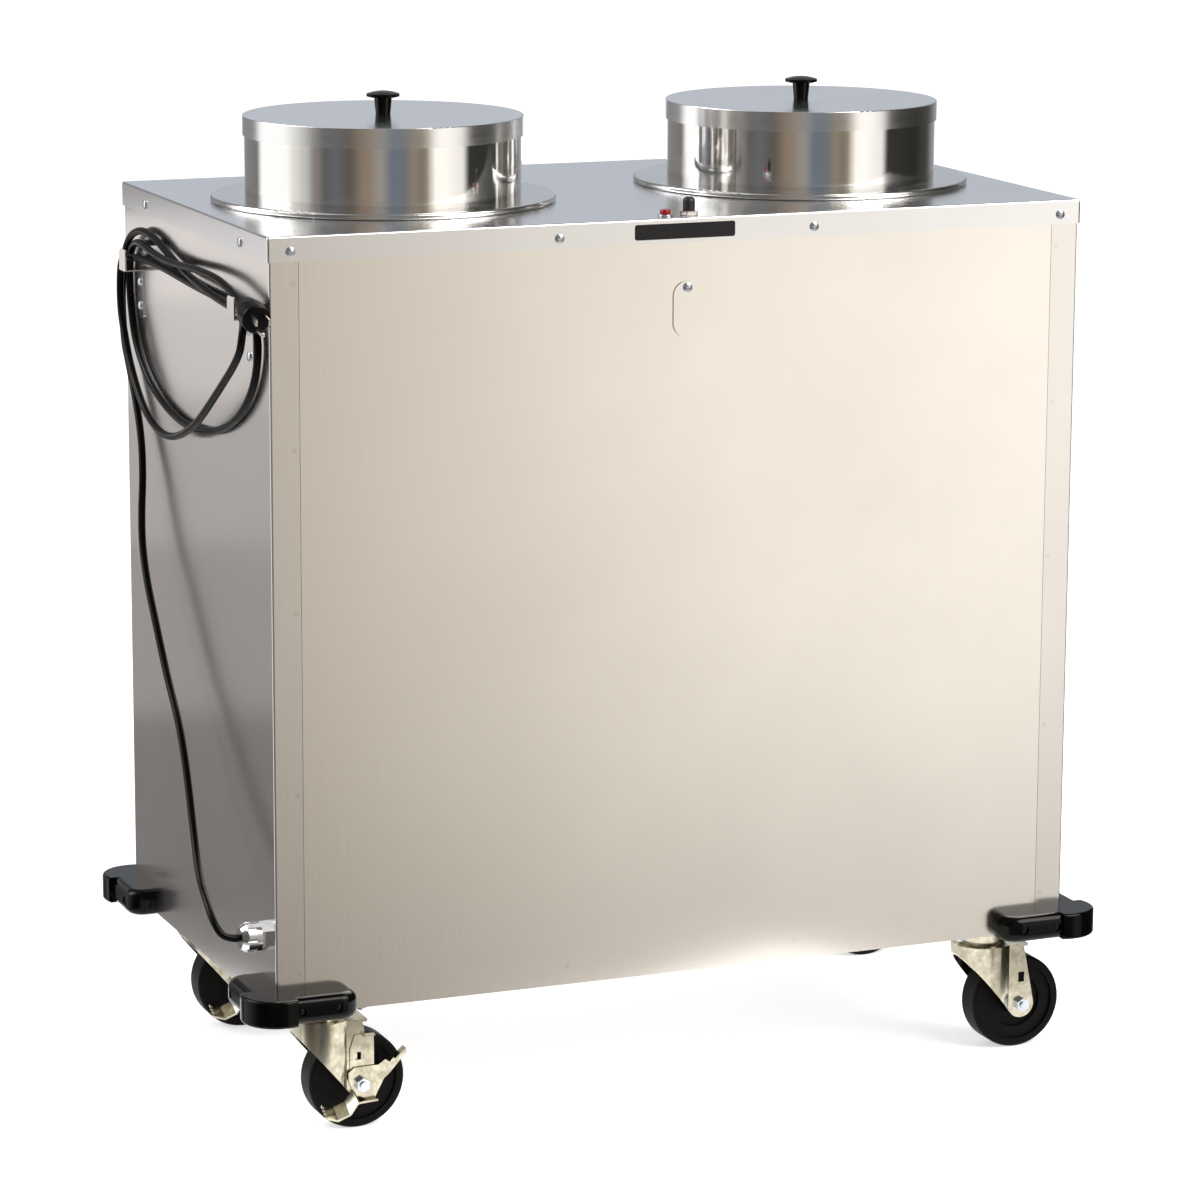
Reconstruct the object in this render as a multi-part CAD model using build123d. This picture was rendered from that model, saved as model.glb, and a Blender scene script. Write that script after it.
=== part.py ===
"""Heated plate dispenser with two self-levelling stacks, on swivel casters.

Millimetres. The origin is on the floor under the middle of the cabinet, +Z is up,
the front panel faces -Y, and the power cord leaves the left side panel, at -X.
"""

from build123d import *
import os
from math import cos, pi, radians, sin, tan

os.makedirs("parts", exist_ok=True)

# Cabinet sheet metal
DECK_LENGTH = 881.0
DECK_WIDTH = 490.0
CABINET_HEIGHT = 780.5
APRON_DEPTH = 25.0
DECK_SHEET = 1.5
DECK_BEND = 2.0
CORNER_SLIT = 0.6
PANEL_SHEET = 1.2
PANEL_BEND = 2.0
PANEL_GAP = 0.5
PANEL_RETURN = 30.0
SEAM_GAP = 0.4
TONGUE_REACH = 22.0
TONGUE_BOND = 15.0
PAN_SHEET = 2.0
PAN_FLANGE = 32.0
FIT_GAP = 0.2

# Screws
SCREW_HEAD_RADIUS = 4.75
SCREW_HEAD_HEIGHT = 2.8
SCREW_SHANK_RADIUS = 2.0
SCREW_LENGTH = 10.0
SCREW_CLEARANCE = 0.1
RECESS_WIDTH = 0.9
RECESS_SPAN = 5.0
RECESS_DEPTH = 1.3
APRON_SCREW_DROP = 15.0
APRON_SCREW_END_INSET = 23.5
APRON_SCREW_INNER_X = 138.0
APRON_SCREW_SIDE_INSET = 85.0

# Corner bumpers
BUMPER_EAR_RADIUS = 36.0
BUMPER_EAR_REACH = 12.0
BUMPER_EAR_ROUND = 3.0
BUMPER_HEIGHT = 28.0
BUMPER_DROP = 2.5
BUMPER_ARM = 80.0
BUMPER_PROUD = 30.0
BUMPER_END_ROUND = 20.0
BUMPER_ROUND = 9.5
BUMPER_RECESS_RADIUS = 4.2
BUMPER_RECESS_DEPTH = 3.0
BUMPER_SCREW_INSET = 17.5
BUMPER_SCREW_SPACING = 38.5
BUMPER_SCREW_HEAD = 3.4

# Casters
CASTER_HEIGHT = 139.5
CASTER_INSET_X = 63.5
CASTER_INSET_Y = 56.0
WHEEL_RADIUS = 50.8
WHEEL_TREAD = 32.0
WHEEL_TREAD_ROUND = 4.0
WHEEL_RIM = 9.0
WHEEL_WEB = 20.0
WHEEL_STEP = 3.0
WHEEL_HUB_RADIUS = 15.0
TRAIL = 35.0
FORK_HALF_WIDTH = 26.0
FORK_SHEET = 3.0
FORK_FOOT = 15.0
FORK_FRONT = 34.0
FORK_BACK = 37.0
FORK_LIP_HEIGHT = 8.5
FORK_SLOT_WIDTH = 7.0
FORK_SLOT_HEIGHT = 11.0
FORK_SLOT_RISE = 24.5
CROWN_RADIUS = 33.0
CROWN_DEPTH = 6.0
CROWN_ROUND = 2.0
CROWN_TAIL = 42.5
TOP_PLATE_LENGTH = 95.0
TOP_PLATE_WIDTH = 67.0
TOP_PLATE_SHEET = 3.0
TOP_PLATE_ROUND = 6.0
RACE_RADIUS = 27.0
RACE_DEPTH = 18.5
RACE_TAPER = 2.0
KINGPIN_RADIUS = 6.0
KINGPIN_HEAD_RADIUS = 10.0
KINGPIN_HEAD_HEIGHT = 4.0
CASTER_BOLT_X = 37.0
CASTER_BOLT_Y = 22.5
CASTER_BOLT_RADIUS = 4.0
CASTER_BOLT_FLATS = 13.0
CASTER_BOLT_HEAD = 5.0
CASTER_NUT_HEIGHT = 6.5
BACKING_SHEET = 3.0
BACKING_MARGIN = 6.0
AXLE_RADIUS = 4.0
AXLE_FLATS = 13.0
AXLE_HEAD = 5.3
AXLE_NUT = 6.5
AXLE_TAIL = 2.5
SLEEVE_RADIUS = 6.2
RUNNING_CLEARANCE = 0.05
RUNNING_GAP = 0.3

# Side-lock brakes on the left casters
BRAKE_PLATE_SHEET = 1.5
BRAKE_PLATE_FRONT = 11.5
BRAKE_PLATE_BACK = 14.0
BRAKE_PLATE_RISE = 51.5
BRAKE_PLATE_BEVEL = 5.0
BRAKE_PLATE_SLOPE = 15.0
BRAKE_WINDOW_WIDTH = 6.5
BRAKE_WINDOW_HEIGHT = 8.0
BRAKE_WINDOW_FRONT = 3.0
BRAKE_WINDOW_RISE = 29.0
BRAKE_TAB_WIDTH = 12.0
BRAKE_TAB_DEPTH = 6.0
BRAKE_LEVER_SHEET = 2.0
BRAKE_PEDAL_DEPTH = 9.0
BRAKE_TOE_DEPTH = 18.0
BRAKE_TOE_SLOPE = 30.0
BRAKE_FLANGE_DEPTH = 8.0
BRAKE_TEETH = 4
BRAKE_TOOTH_GAP = 1.8
BRAKE_TOOTH_DEPTH = 2.5

# Outline of the brake lever from its pivot, X then Z, and the strips bent out of it
LEVER_OUTLINE = [
    (-14, 5),
    (-14, 12.5),
    (-8, 17.5),
    (18, 18),
    (25.5, 23),
    (30, 19.5),
    (44, 34),
    (49, 29),
    (30, 8),
    (24, 3),
    (16, -12),
    (13.5, -18),
    (3, -16),
    (-8, -9),
]
LEVER_PEDAL = [(34, 24), (45.5, 34.5)]
LEVER_TOE = [(-8, -6), (-17, -18), (-30, -23), (-43, -19)]
LEVER_FLANGE = [(-9, -18.5), (15.5, -17)]

# Plate stacks
STACK_INSET = 206.0
FLANGE_RADIUS = 177.0
FLANGE_RISE = 6.5
FLANGE_SHEET = 1.5
FLANGE_BEAD = 9.0
FLANGE_BEAD_ROUND = 3.0
WELL_RADIUS = 132.0
COLLAR_DEPTH = 15.0
GUIDE_CIRCLE = 148.0
GUIDE_RADIUS = 5.0
GUIDE_ANGLES = (90, 210, 330)
GUIDE_RING_WIDTH = 22.0
GUIDE_RING_SHEET = 3.0
CARRIER_RADIUS = 126.0
CARRIER_DROP = 25.0
CARRIER_SHEET = 2.0
CARRIER_SKIRT_RADIUS = 72.0
CARRIER_SKIRT_HEIGHT = 40.0
CARRIER_ARM_SHEET = 3.0
CARRIER_ARM_WIDTH = 24.0
CARRIER_SLEEVE_RADIUS = 8.5
CARRIER_SLEEVE_LENGTH = 160.0
CARRIER_LUG_WIDTH = 10.0
SPRING_STEP = 10.0
SPRING_RADIUS = 6.5
SPRING_WIRE = 2.0
HOLE_MARGIN = 6.0

# Lids
LID_RADIUS = 142.0
LID_HEIGHT = 81.0
LID_SHEET = 1.0
LID_FIT = 0.1
CAP_RIM = 20.0
CAP_RIM_SHEET = 1.6
CAP_ROUND = 0.8
KNOB_RADIUS = 17.0
KNOB_HEIGHT = 24.0
KNOB_FLARE = 2.2
KNOB_RIM = 2.8
KNOB_DOME = 3.0
KNOB_NECK_RADIUS = 9.0
KNOB_FOOT_RADIUS = 7.5

# Controls
CONTROL_INSET = 19.0
LAMP_X = -17.0
LAMP_BEZEL_RADIUS = 7.5
LAMP_BEZEL_HEIGHT = 2.0
LAMP_BARREL_RADIUS = 5.5
LAMP_BARREL_DEPTH = 22.0
LAMP_LENS_RADIUS = 5.4
LAMP_LENS_HEIGHT = 5.0
SWITCH_X = 8.5
SWITCH_FLATS = 17.0
SWITCH_NUT_HEIGHT = 4.5
SWITCH_BUSH_RADIUS = 6.0
SWITCH_BUSH_RISE = 0.8
SWITCH_BODY = 22.0
SWITCH_BODY_DEPTH = 24.0
SWITCH_TRAVEL = 3.0
BOOT_RADIUS = 6.2
BOOT_HEIGHT = 14.0
BOOT_ROUND = 4.5
THERMOSTAT_DROP = 105.0
THERMOSTAT_RADIUS = 20.0
THERMOSTAT_LENGTH = 30.0
THERMOSTAT_SETBACK = 14.0
THERMOSTAT_LEG = 8.0
SHAFT_RADIUS = 3.0
SHAFT_SLOT = 1.2
ACCESS_RADIUS = 7.0
COVER_WIDTH = 30.0
COVER_LENGTH = 57.0
COVER_SHEET = 1.2
COVER_TOP_DROP = 63.5
COVER_PIVOT_DROP = 70.0

# Heating
HEATER_RADIUS = 95.0
HEATER_TUBE = 4.0
HEATER_RISE = 55.0
HEATER_SWEEP = 320.0
HEATER_POSTS = (30, 150, 270)
HEATER_POST = 12.0
TERMINAL_LENGTH = 80.0
TERMINAL_WIDTH = 24.0
TERMINAL_HEIGHT = 15.0

# Cord entry, cord and hooks on the left side panel
GRIP_INSET = 30.0
GRIP_RISE = 76.5
GRIP_FLATS = 27.0
GRIP_BODY = 8.0
GRIP_NUT_RADIUS = 15.0
GRIP_NUT_LENGTH = 20.0
GRIP_NOSE_RADIUS = 11.0
GRIP_NOSE_LENGTH = 6.0
GRIP_COLLAR = 5.0
GRIP_NUT_FLUTES = 8
GRIP_FLUTE_RADIUS = 2.0
GRIP_THREAD_RADIUS = 10.0
GRIP_THREAD = 14.0
GRIP_LOCKNUT = 5.0
BOX_DEPTH = 52.0
BOX_WIDTH = 44.0
BOX_HEIGHT = 50.0
BOX_SHEET = 1.2
HOOK_INSET = 58.0
HOOK_WIDTH = 22.0
HOOK_SHEET = 1.5
HOOK_REACH = 20.5
HOOK_DROP = 85.0
HOOK_TIP = 22.5
HOOK_PLATE = 52.0
HOOK_ROUND = 5.0
HOOK_SCREW_DROP = 14.0
HOOK_SCREW_SPACING = 25.4
CORD_RADIUS = 3.9
ARC_SHARE = 0.45
PLUG_STAND_OFF = 14.9
PLUG_ROOT_Y = -197.0
PLUG_ROOT_Z = 853.0
PLUG_TILT = 12.0
PLUG_LEAD = 17.4
PLUG_RADIUS = 14.5
PLUG_LENGTH = 36.0
PLUG_NECK_RADIUS = 11.0
PLUG_ROUND = 3.0
RELIEF_LENGTH = 20.0
RELIEF_RADIUS = 5.2
RELIEF_ROOT_RADIUS = 6.8
BLADE_SPACING = 12.7
BLADE_WIDTH = 6.3
BLADE_SHEET = 1.5
BLADE_LENGTH = 18.0
BLADE_RISE = 3.5
GROUND_RADIUS = 2.4
GROUND_LENGTH = 20.0
GROUND_DROP = 11.9

# Levels and faces that several pieces share
CABINET_BOTTOM = CASTER_HEIGHT
DECK_TOP = CABINET_BOTTOM + CABINET_HEIGHT
DECK_UNDER = DECK_TOP - DECK_SHEET
APRON_BOTTOM = DECK_TOP - APRON_DEPTH
PANEL_X = DECK_LENGTH / 2 - DECK_SHEET - PANEL_GAP
PANEL_Y = DECK_WIDTH / 2 - DECK_SHEET - PANEL_GAP
PANEL_TOP = DECK_UNDER - FIT_GAP
SEAM_X = PANEL_X - PANEL_RETURN
CASTER_X = PANEL_X - CASTER_INSET_X
CASTER_Y = PANEL_Y - CASTER_INSET_Y
STACK_X = DECK_LENGTH / 2 - STACK_INSET
CONTROL_Y = CONTROL_INSET - DECK_WIDTH / 2
GRIP_Y = GRIP_INSET - PANEL_Y
HOOK_Y = PANEL_Y - HOOK_INSET
PAN_X = PANEL_X - PANEL_SHEET - FIT_GAP
PAN_Y = PANEL_Y - 2 * PANEL_SHEET - FIT_GAP
PAN_TOP = CABINET_BOTTOM + PAN_SHEET
APRON_SCREW_Z = DECK_TOP - APRON_SCREW_DROP
APRON_SCREW_OUTER_X = DECK_LENGTH / 2 - APRON_SCREW_END_INSET
APRON_SCREW_SIDE_Y = DECK_WIDTH / 2 - APRON_SCREW_SIDE_INSET
BUMPER_BOTTOM = CABINET_BOTTOM - BUMPER_DROP
BUMPER_SCREW_Z = BUMPER_BOTTOM + BUMPER_HEIGHT / 2
BUMPER_SEAT = BUMPER_PROUD - BUMPER_RECESS_DEPTH
FLANGE_TOP = DECK_TOP + FLANGE_RISE
FLANGE_UNDER = FLANGE_TOP - FLANGE_SHEET
WELL_HOLE_RADIUS = GUIDE_CIRCLE + CARRIER_SLEEVE_RADIUS + HOLE_MARGIN
CARRIER_TOP = DECK_TOP - CARRIER_DROP
CARRIER_ARM_TOP = CARRIER_TOP - CARRIER_SHEET - CARRIER_SKIRT_HEIGHT
SLEEVE_BOTTOM = CARRIER_ARM_TOP - CARRIER_SLEEVE_LENGTH
LID_TOP = FLANGE_TOP + LID_HEIGHT
CAP_UNDER = LID_TOP - LID_SHEET
THERMOSTAT_Z = DECK_TOP - THERMOSTAT_DROP
THERMOSTAT_FACE = -PANEL_Y + PANEL_SHEET + THERMOSTAT_SETBACK
COVER_PIVOT_Z = DECK_TOP - COVER_PIVOT_DROP
COVER_TOP_Z = DECK_TOP - COVER_TOP_DROP
COVER_BACK = -PANEL_Y - FIT_GAP
COVER_FACE = COVER_BACK - COVER_SHEET
CROWN_TOP = CASTER_HEIGHT - TOP_PLATE_SHEET - RACE_DEPTH - RUNNING_GAP
FORK_INNER = FORK_HALF_WIDTH - FORK_SHEET
HEATER_Z = PAN_TOP + HEATER_RISE
GRIP_Z = CABINET_BOTTOM + GRIP_RISE
HOOK_SHELF_Z = DECK_TOP - HOOK_DROP
CASTERS = {
    "front_left": (-CASTER_X, -CASTER_Y, True),
    "front_right": (CASTER_X, -CASTER_Y, False),
    "rear_left": (-CASTER_X, CASTER_Y, True),
    "rear_right": (CASTER_X, CASTER_Y, False),
}
STACKS = {"left": -STACK_X, "right": STACK_X}


# Basic solids


def block(x, y, z):
    """Box between a low and a high value on each axis."""
    size = [high - low for low, high in (x, y, z)]
    middle = [(high + low) / 2 for low, high in (x, y, z)]
    return Pos(*middle) * Box(*size)


def bar(start, end, radius):
    """Round bar from one point to another."""
    along = Vector(*end) - Vector(*start)
    base = Plane(origin=start, z_dir=along)
    return base * Cylinder(radius, along.length, align=(Align.CENTER, Align.CENTER, Align.MIN))


def turned(profile):
    """Solid of revolution about Z from (radius, height) points."""
    outline = Polyline(*[(radius, 0, height) for radius, height in profile], close=True)
    return revolve(make_face(outline), Axis.Z)


def tube(inner, outer, low, high):
    """Upright tube about Z."""
    return turned([(inner, low), (outer, low), (outer, high), (inner, high)])


def hexagon(flats, height):
    """Hexagonal prism standing on the XY plane."""
    return extrude(RegularPolygon(flats / 2, 6, major_radius=False), height)


def circles_of(solid, radius):
    """Circular edges of one radius."""
    circles = solid.edges().filter_by(GeomType.CIRCLE)
    return circles.filter_by(lambda edge: abs(edge.radius - radius) < 1e-3)


def group(solids):
    """Separate solids that share one node."""
    return Compound([solid.solid() for solid in solids])


def mirrored(low, high, side):
    """A low and high pair, on the positive or the negative side."""
    return (low, high) if side > 0 else (-high, -low)


# Screws: each is a seat under the head and the way its head faces


def apron_screw_seats():
    seats = []
    for side in (-1, 1):
        for reach in (APRON_SCREW_INNER_X, APRON_SCREW_OUTER_X):
            for x in (-reach, reach):
                seats.append(((x, side * DECK_WIDTH / 2, APRON_SCREW_Z), (0, side, 0)))
        for y in (-APRON_SCREW_SIDE_Y, APRON_SCREW_SIDE_Y):
            seats.append(((side * DECK_LENGTH / 2, y, APRON_SCREW_Z), (side, 0, 0)))
    return seats


def bumper_screw_seats():
    seats = []
    for side_x in (-1, 1):
        for side_y in (-1, 1):
            for inset in (BUMPER_SCREW_INSET, BUMPER_SCREW_INSET + BUMPER_SCREW_SPACING):
                x, y = side_x * (PANEL_X - inset), side_y * (PANEL_Y + BUMPER_SEAT)
                seats.append(((x, y, BUMPER_SCREW_Z), (0, side_y, 0)))
                x, y = side_x * (PANEL_X + BUMPER_SEAT), side_y * (PANEL_Y - inset)
                seats.append(((x, y, BUMPER_SCREW_Z), (side_x, 0, 0)))
    return seats


def hook_screw_seats():
    seats = []
    for side in (-1, 1):
        for step in (0, 1):
            z = HOOK_SHELF_Z - HOOK_SCREW_DROP - step * HOOK_SCREW_SPACING
            seats.append(((-PANEL_X - HOOK_SHEET, side * HOOK_Y, z), (-1, 0, 0)))
    return seats


def cover_screw_seats():
    return [((0, COVER_FACE - FIT_GAP, COVER_PIVOT_Z), (0, -1, 0))]


BUMPER_SCREW_LENGTH = BUMPER_SEAT + SCREW_LENGTH


def screw(seat, outward, head_radius=SCREW_HEAD_RADIUS, length=SCREW_LENGTH):
    """Pan-head screw with a cross recess."""
    head = turned([
        (0, -length),
        (SCREW_SHANK_RADIUS, -length),
        (SCREW_SHANK_RADIUS, 0),
        (head_radius, 0),
        (head_radius, SCREW_HEAD_HEIGHT / 2),
        (0, SCREW_HEAD_HEIGHT),
    ])
    head = fillet(circles_of(head, head_radius).sort_by(Axis.Z)[-1], SCREW_HEAD_HEIGHT / 3)
    depth = (SCREW_HEAD_HEIGHT - RECESS_DEPTH, SCREW_HEAD_HEIGHT)
    span = RECESS_SPAN * head_radius / SCREW_HEAD_RADIUS / 2
    head -= block((-span, span), (-RECESS_WIDTH / 2, RECESS_WIDTH / 2), depth)
    head -= block((-RECESS_WIDTH / 2, RECESS_WIDTH / 2), (-span, span), depth)
    return Plane(origin=seat, x_dir=(0, 0, 1), z_dir=outward) * head


def screw_holes(seats, length=SCREW_LENGTH):
    """Clearance holes for screws, from just outside the seat to past the tip."""
    radius = SCREW_SHANK_RADIUS + SCREW_CLEARANCE
    holes = []
    for seat, outward in seats:
        middle, way = Vector(*seat), Vector(*outward)
        holes.append(bar(middle + way * FIT_GAP, middle - way * (length + FIT_GAP), radius))
    return holes


# Cabinet


def top_deck():
    half_x, half_y = DECK_LENGTH / 2, DECK_WIDTH / 2
    shell = block((-half_x, half_x), (-half_y, half_y), (APRON_BOTTOM, DECK_TOP))
    bends = shell.edges().filter_by(Axis.Z) + shell.faces().sort_by(Axis.Z)[-1].edges()
    shell = fillet(bends, DECK_BEND)
    in_x, in_y = half_x - DECK_SHEET, half_y - DECK_SHEET
    shell -= block((-in_x, in_x), (-in_y, in_y), (APRON_BOTTOM, DECK_UNDER))
    for side_x in (-1, 1):
        slit = mirrored(in_x - CORNER_SLIT, in_x, side_x)
        for side_y in (-1, 1):
            cut = mirrored(in_y, half_y, side_y)
            shell -= block(slit, cut, (APRON_BOTTOM, DECK_TOP - 2 * DECK_BEND))
    for x in STACKS.values():
        shell -= bar((x, 0, DECK_UNDER), (x, 0, DECK_TOP), WELL_HOLE_RADIUS)
    for x, radius in ((LAMP_X, LAMP_BARREL_RADIUS), (SWITCH_X, SWITCH_BUSH_RADIUS)):
        shell -= bar((x, CONTROL_Y, DECK_UNDER), (x, CONTROL_Y, DECK_TOP), radius + SCREW_CLEARANCE)
    return shell - screw_holes(apron_screw_seats())


def side_panel(side):
    """Panel with returns that wrap onto the front and the rear of the cabinet."""
    height = (CABINET_BOTTOM, PANEL_TOP)
    panel = block(mirrored(SEAM_X, PANEL_X, side), (-PANEL_Y, PANEL_Y), height)
    corners = panel.edges().filter_by(Axis.Z).sort_by(Axis.X)
    panel = fillet(corners[-2:] if side > 0 else corners[:2], PANEL_BEND)
    in_y = PANEL_Y - PANEL_SHEET
    panel -= block(mirrored(SEAM_X, PANEL_X - PANEL_SHEET, side), (-in_y, in_y), height)
    panel -= screw_holes(apron_screw_seats())
    panel -= screw_holes(bumper_screw_seats(), BUMPER_SCREW_LENGTH)
    if side < 0:
        panel -= screw_holes(hook_screw_seats())
        hole = GRIP_THREAD_RADIUS + SCREW_CLEARANCE
        panel -= bar((-PANEL_X, GRIP_Y, GRIP_Z), (-PANEL_X + PANEL_SHEET, GRIP_Y, GRIP_Z), hole)
    return panel


def end_panel(side):
    """Front or rear panel, with tongues welded behind the side panels' returns."""
    height = (CABINET_BOTTOM, PANEL_TOP)
    edge = SEAM_X - SEAM_GAP
    outer, inner = PANEL_Y, PANEL_Y - PANEL_SHEET
    panel = block((-edge, edge), mirrored(inner, outer, side), height)
    for side_x in (-1, 1):
        tongue = mirrored(SEAM_X - TONGUE_BOND, SEAM_X + TONGUE_REACH, side_x)
        panel += block(tongue, mirrored(inner - PANEL_SHEET, inner, side), height)
    panel -= screw_holes(apron_screw_seats())
    return panel - screw_holes(bumper_screw_seats(), BUMPER_SCREW_LENGTH)


def front_panel():
    panel = end_panel(-1) - screw_holes(cover_screw_seats())
    inside = -PANEL_Y + PANEL_SHEET
    return panel - bar((0, -PANEL_Y, THERMOSTAT_Z), (0, inside, THERMOSTAT_Z), ACCESS_RADIUS)


def caster_bolt_places():
    places = []
    for x, y, _ in CASTERS.values():
        for shift_x in (-CASTER_BOLT_X, CASTER_BOLT_X):
            for shift_y in (-CASTER_BOLT_Y, CASTER_BOLT_Y):
                places.append((x + shift_x, y + shift_y))
    return places


def caster_bolt_holes(low, high):
    radius = CASTER_BOLT_RADIUS + SCREW_CLEARANCE
    return [bar((x, y, low), (x, y, high), radius) for x, y in caster_bolt_places()]


def base_pan():
    pan = block((-PAN_X, PAN_X), (-PAN_Y, PAN_Y), (CABINET_BOTTOM, CABINET_BOTTOM + PAN_FLANGE))
    in_x, in_y = PAN_X - PAN_SHEET, PAN_Y - PAN_SHEET
    pan -= block((-in_x, in_x), (-in_y, in_y), (PAN_TOP, CABINET_BOTTOM + PAN_FLANGE))
    pan -= caster_bolt_holes(CABINET_BOTTOM, PAN_TOP)
    return pan - screw_holes(bumper_screw_seats(), BUMPER_SCREW_LENGTH)


def backing_plates():
    half_x = CASTER_BOLT_X + CASTER_BOLT_FLATS / 2 + BACKING_MARGIN
    half_y = CASTER_BOLT_Y + CASTER_BOLT_FLATS / 2 + BACKING_MARGIN
    height = (PAN_TOP, PAN_TOP + BACKING_SHEET)
    holes = caster_bolt_holes(*height)
    plates = []
    for x, y, _ in CASTERS.values():
        plate = block((x - half_x, x + half_x), (y - half_y, y + half_y), height)
        plates.append(plate - holes)
    return group(plates)


def bumper_arm():
    """Rounded arm along -X from the corner at the origin, standing proud along +Y."""
    arm = block((-BUMPER_ARM, 0), (0, BUMPER_PROUD), (0, BUMPER_HEIGHT))
    tip = arm.faces().sort_by(Axis.X)[0].edges().filter_by(Axis.Z).sort_by(Axis.Y)[-1]
    arm = fillet(tip, BUMPER_END_ROUND)
    wall_side = arm.faces().sort_by(Axis.Y)[0].edges()
    corner_side = arm.faces().sort_by(Axis.X)[-1].edges()
    level = arm.edges().filter_by(Axis.Z, reverse=True)
    outer = [edge for edge in level if edge not in wall_side + corner_side]
    return fillet(outer, BUMPER_ROUND)


def bumper_ear():
    """Round corner pad that ends a short way along each arm."""
    plan = Circle(BUMPER_EAR_RADIUS)
    reach = BUMPER_EAR_RADIUS + BUMPER_EAR_REACH
    for x, y in ((-1, 0), (0, -1)):
        cut = Pos(x * reach, y * reach) * Rectangle(2 * BUMPER_EAR_RADIUS, 2 * BUMPER_EAR_RADIUS)
        plan -= cut
    plan -= Pos(-BUMPER_EAR_REACH / 2, -BUMPER_EAR_REACH / 2) * Rectangle(BUMPER_EAR_REACH, BUMPER_EAR_REACH)
    ear = extrude(plan, BUMPER_HEIGHT)
    return fillet(circles_of(ear, BUMPER_EAR_RADIUS), BUMPER_EAR_ROUND)


def corner_bumpers():
    arm = bumper_arm()
    corner = bumper_ear() + arm + mirror(arm, Plane(origin=(0, 0, 0), z_dir=(1, -1, 0)))
    holes = screw_holes(bumper_screw_seats(), BUMPER_SCREW_LENGTH)
    for seat, outward in bumper_screw_seats():
        start = Vector(*seat)
        holes.append(bar(start, start + Vector(*outward) * BUMPER_RECESS_DEPTH, BUMPER_RECESS_RADIUS))
    bumpers = []
    for side_x in (-1, 1):
        for side_y in (-1, 1):
            bumper = corner
            if side_x < 0:
                bumper = mirror(bumper, Plane.YZ)
            if side_y < 0:
                bumper = mirror(bumper, Plane.XZ)
            bumpers.append(Pos(side_x * PANEL_X, side_y * PANEL_Y, BUMPER_BOTTOM) * bumper - holes)
    return group(bumpers)


# Casters


def caster_top_plates():
    plates = []
    holes = caster_bolt_holes(CASTER_HEIGHT - TOP_PLATE_SHEET, CASTER_HEIGHT)
    low = CASTER_HEIGHT - TOP_PLATE_SHEET
    for x, y, _ in CASTERS.values():
        half_x, half_y = TOP_PLATE_LENGTH / 2, TOP_PLATE_WIDTH / 2
        plate = block((x - half_x, x + half_x), (y - half_y, y + half_y), (low, CASTER_HEIGHT))
        plate = fillet(plate.edges().filter_by(Axis.Z), TOP_PLATE_ROUND)
        head_top = CROWN_TOP - FORK_SHEET - RUNNING_GAP
        swivel = turned([
            (0, low),
            (RACE_RADIUS, low),
            (RACE_RADIUS - RACE_TAPER, low - RACE_DEPTH),
            (KINGPIN_RADIUS, low - RACE_DEPTH),
            (KINGPIN_RADIUS, head_top),
            (KINGPIN_HEAD_RADIUS, head_top),
            (KINGPIN_HEAD_RADIUS, head_top - KINGPIN_HEAD_HEIGHT),
            (0, head_top - KINGPIN_HEAD_HEIGHT),
        ])
        plates.append(plate - holes + Pos(x, y, 0) * swivel)
    return group(plates)


def caster_bolts():
    """Bolts with their heads inside the cabinet and their nuts under the top plates."""
    low = CASTER_HEIGHT - TOP_PLATE_SHEET
    high = PAN_TOP + BACKING_SHEET
    bolts = []
    for x, y in caster_bolt_places():
        bolt = Pos(x, y, high) * hexagon(CASTER_BOLT_FLATS, CASTER_BOLT_HEAD)
        bolt += bar((x, y, low - CASTER_NUT_HEIGHT - AXLE_TAIL), (x, y, high), CASTER_BOLT_RADIUS)
        bolt += Pos(x, y, low - CASTER_NUT_HEIGHT) * hexagon(CASTER_BOLT_FLATS, CASTER_NUT_HEIGHT)
        bolts.append(bolt)
    return group(bolts)


def fork_plan(radius, half_width, reach):
    """Plan of the fork's bent wall: round about the swivel, flat legs beside the wheel."""
    return Circle(radius) + Pos(reach / 2, 0) * Rectangle(reach, 2 * half_width)


def fork_side():
    """Side view of the fork: wide at the crown, down to a round foot at the axle."""
    crown = Polyline(
        (-FORK_FRONT, CROWN_TOP),
        (-FORK_FRONT, CROWN_TOP - FORK_LIP_HEIGHT),
        (FORK_BACK, CROWN_TOP - FORK_SHEET),
        (FORK_BACK, CROWN_TOP),
        close=True,
    )
    foot = Pos(TRAIL, WHEEL_RADIUS) * Circle(FORK_FOOT)
    return Plane.XZ * make_hull(crown.edges() + foot.edges())


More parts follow.
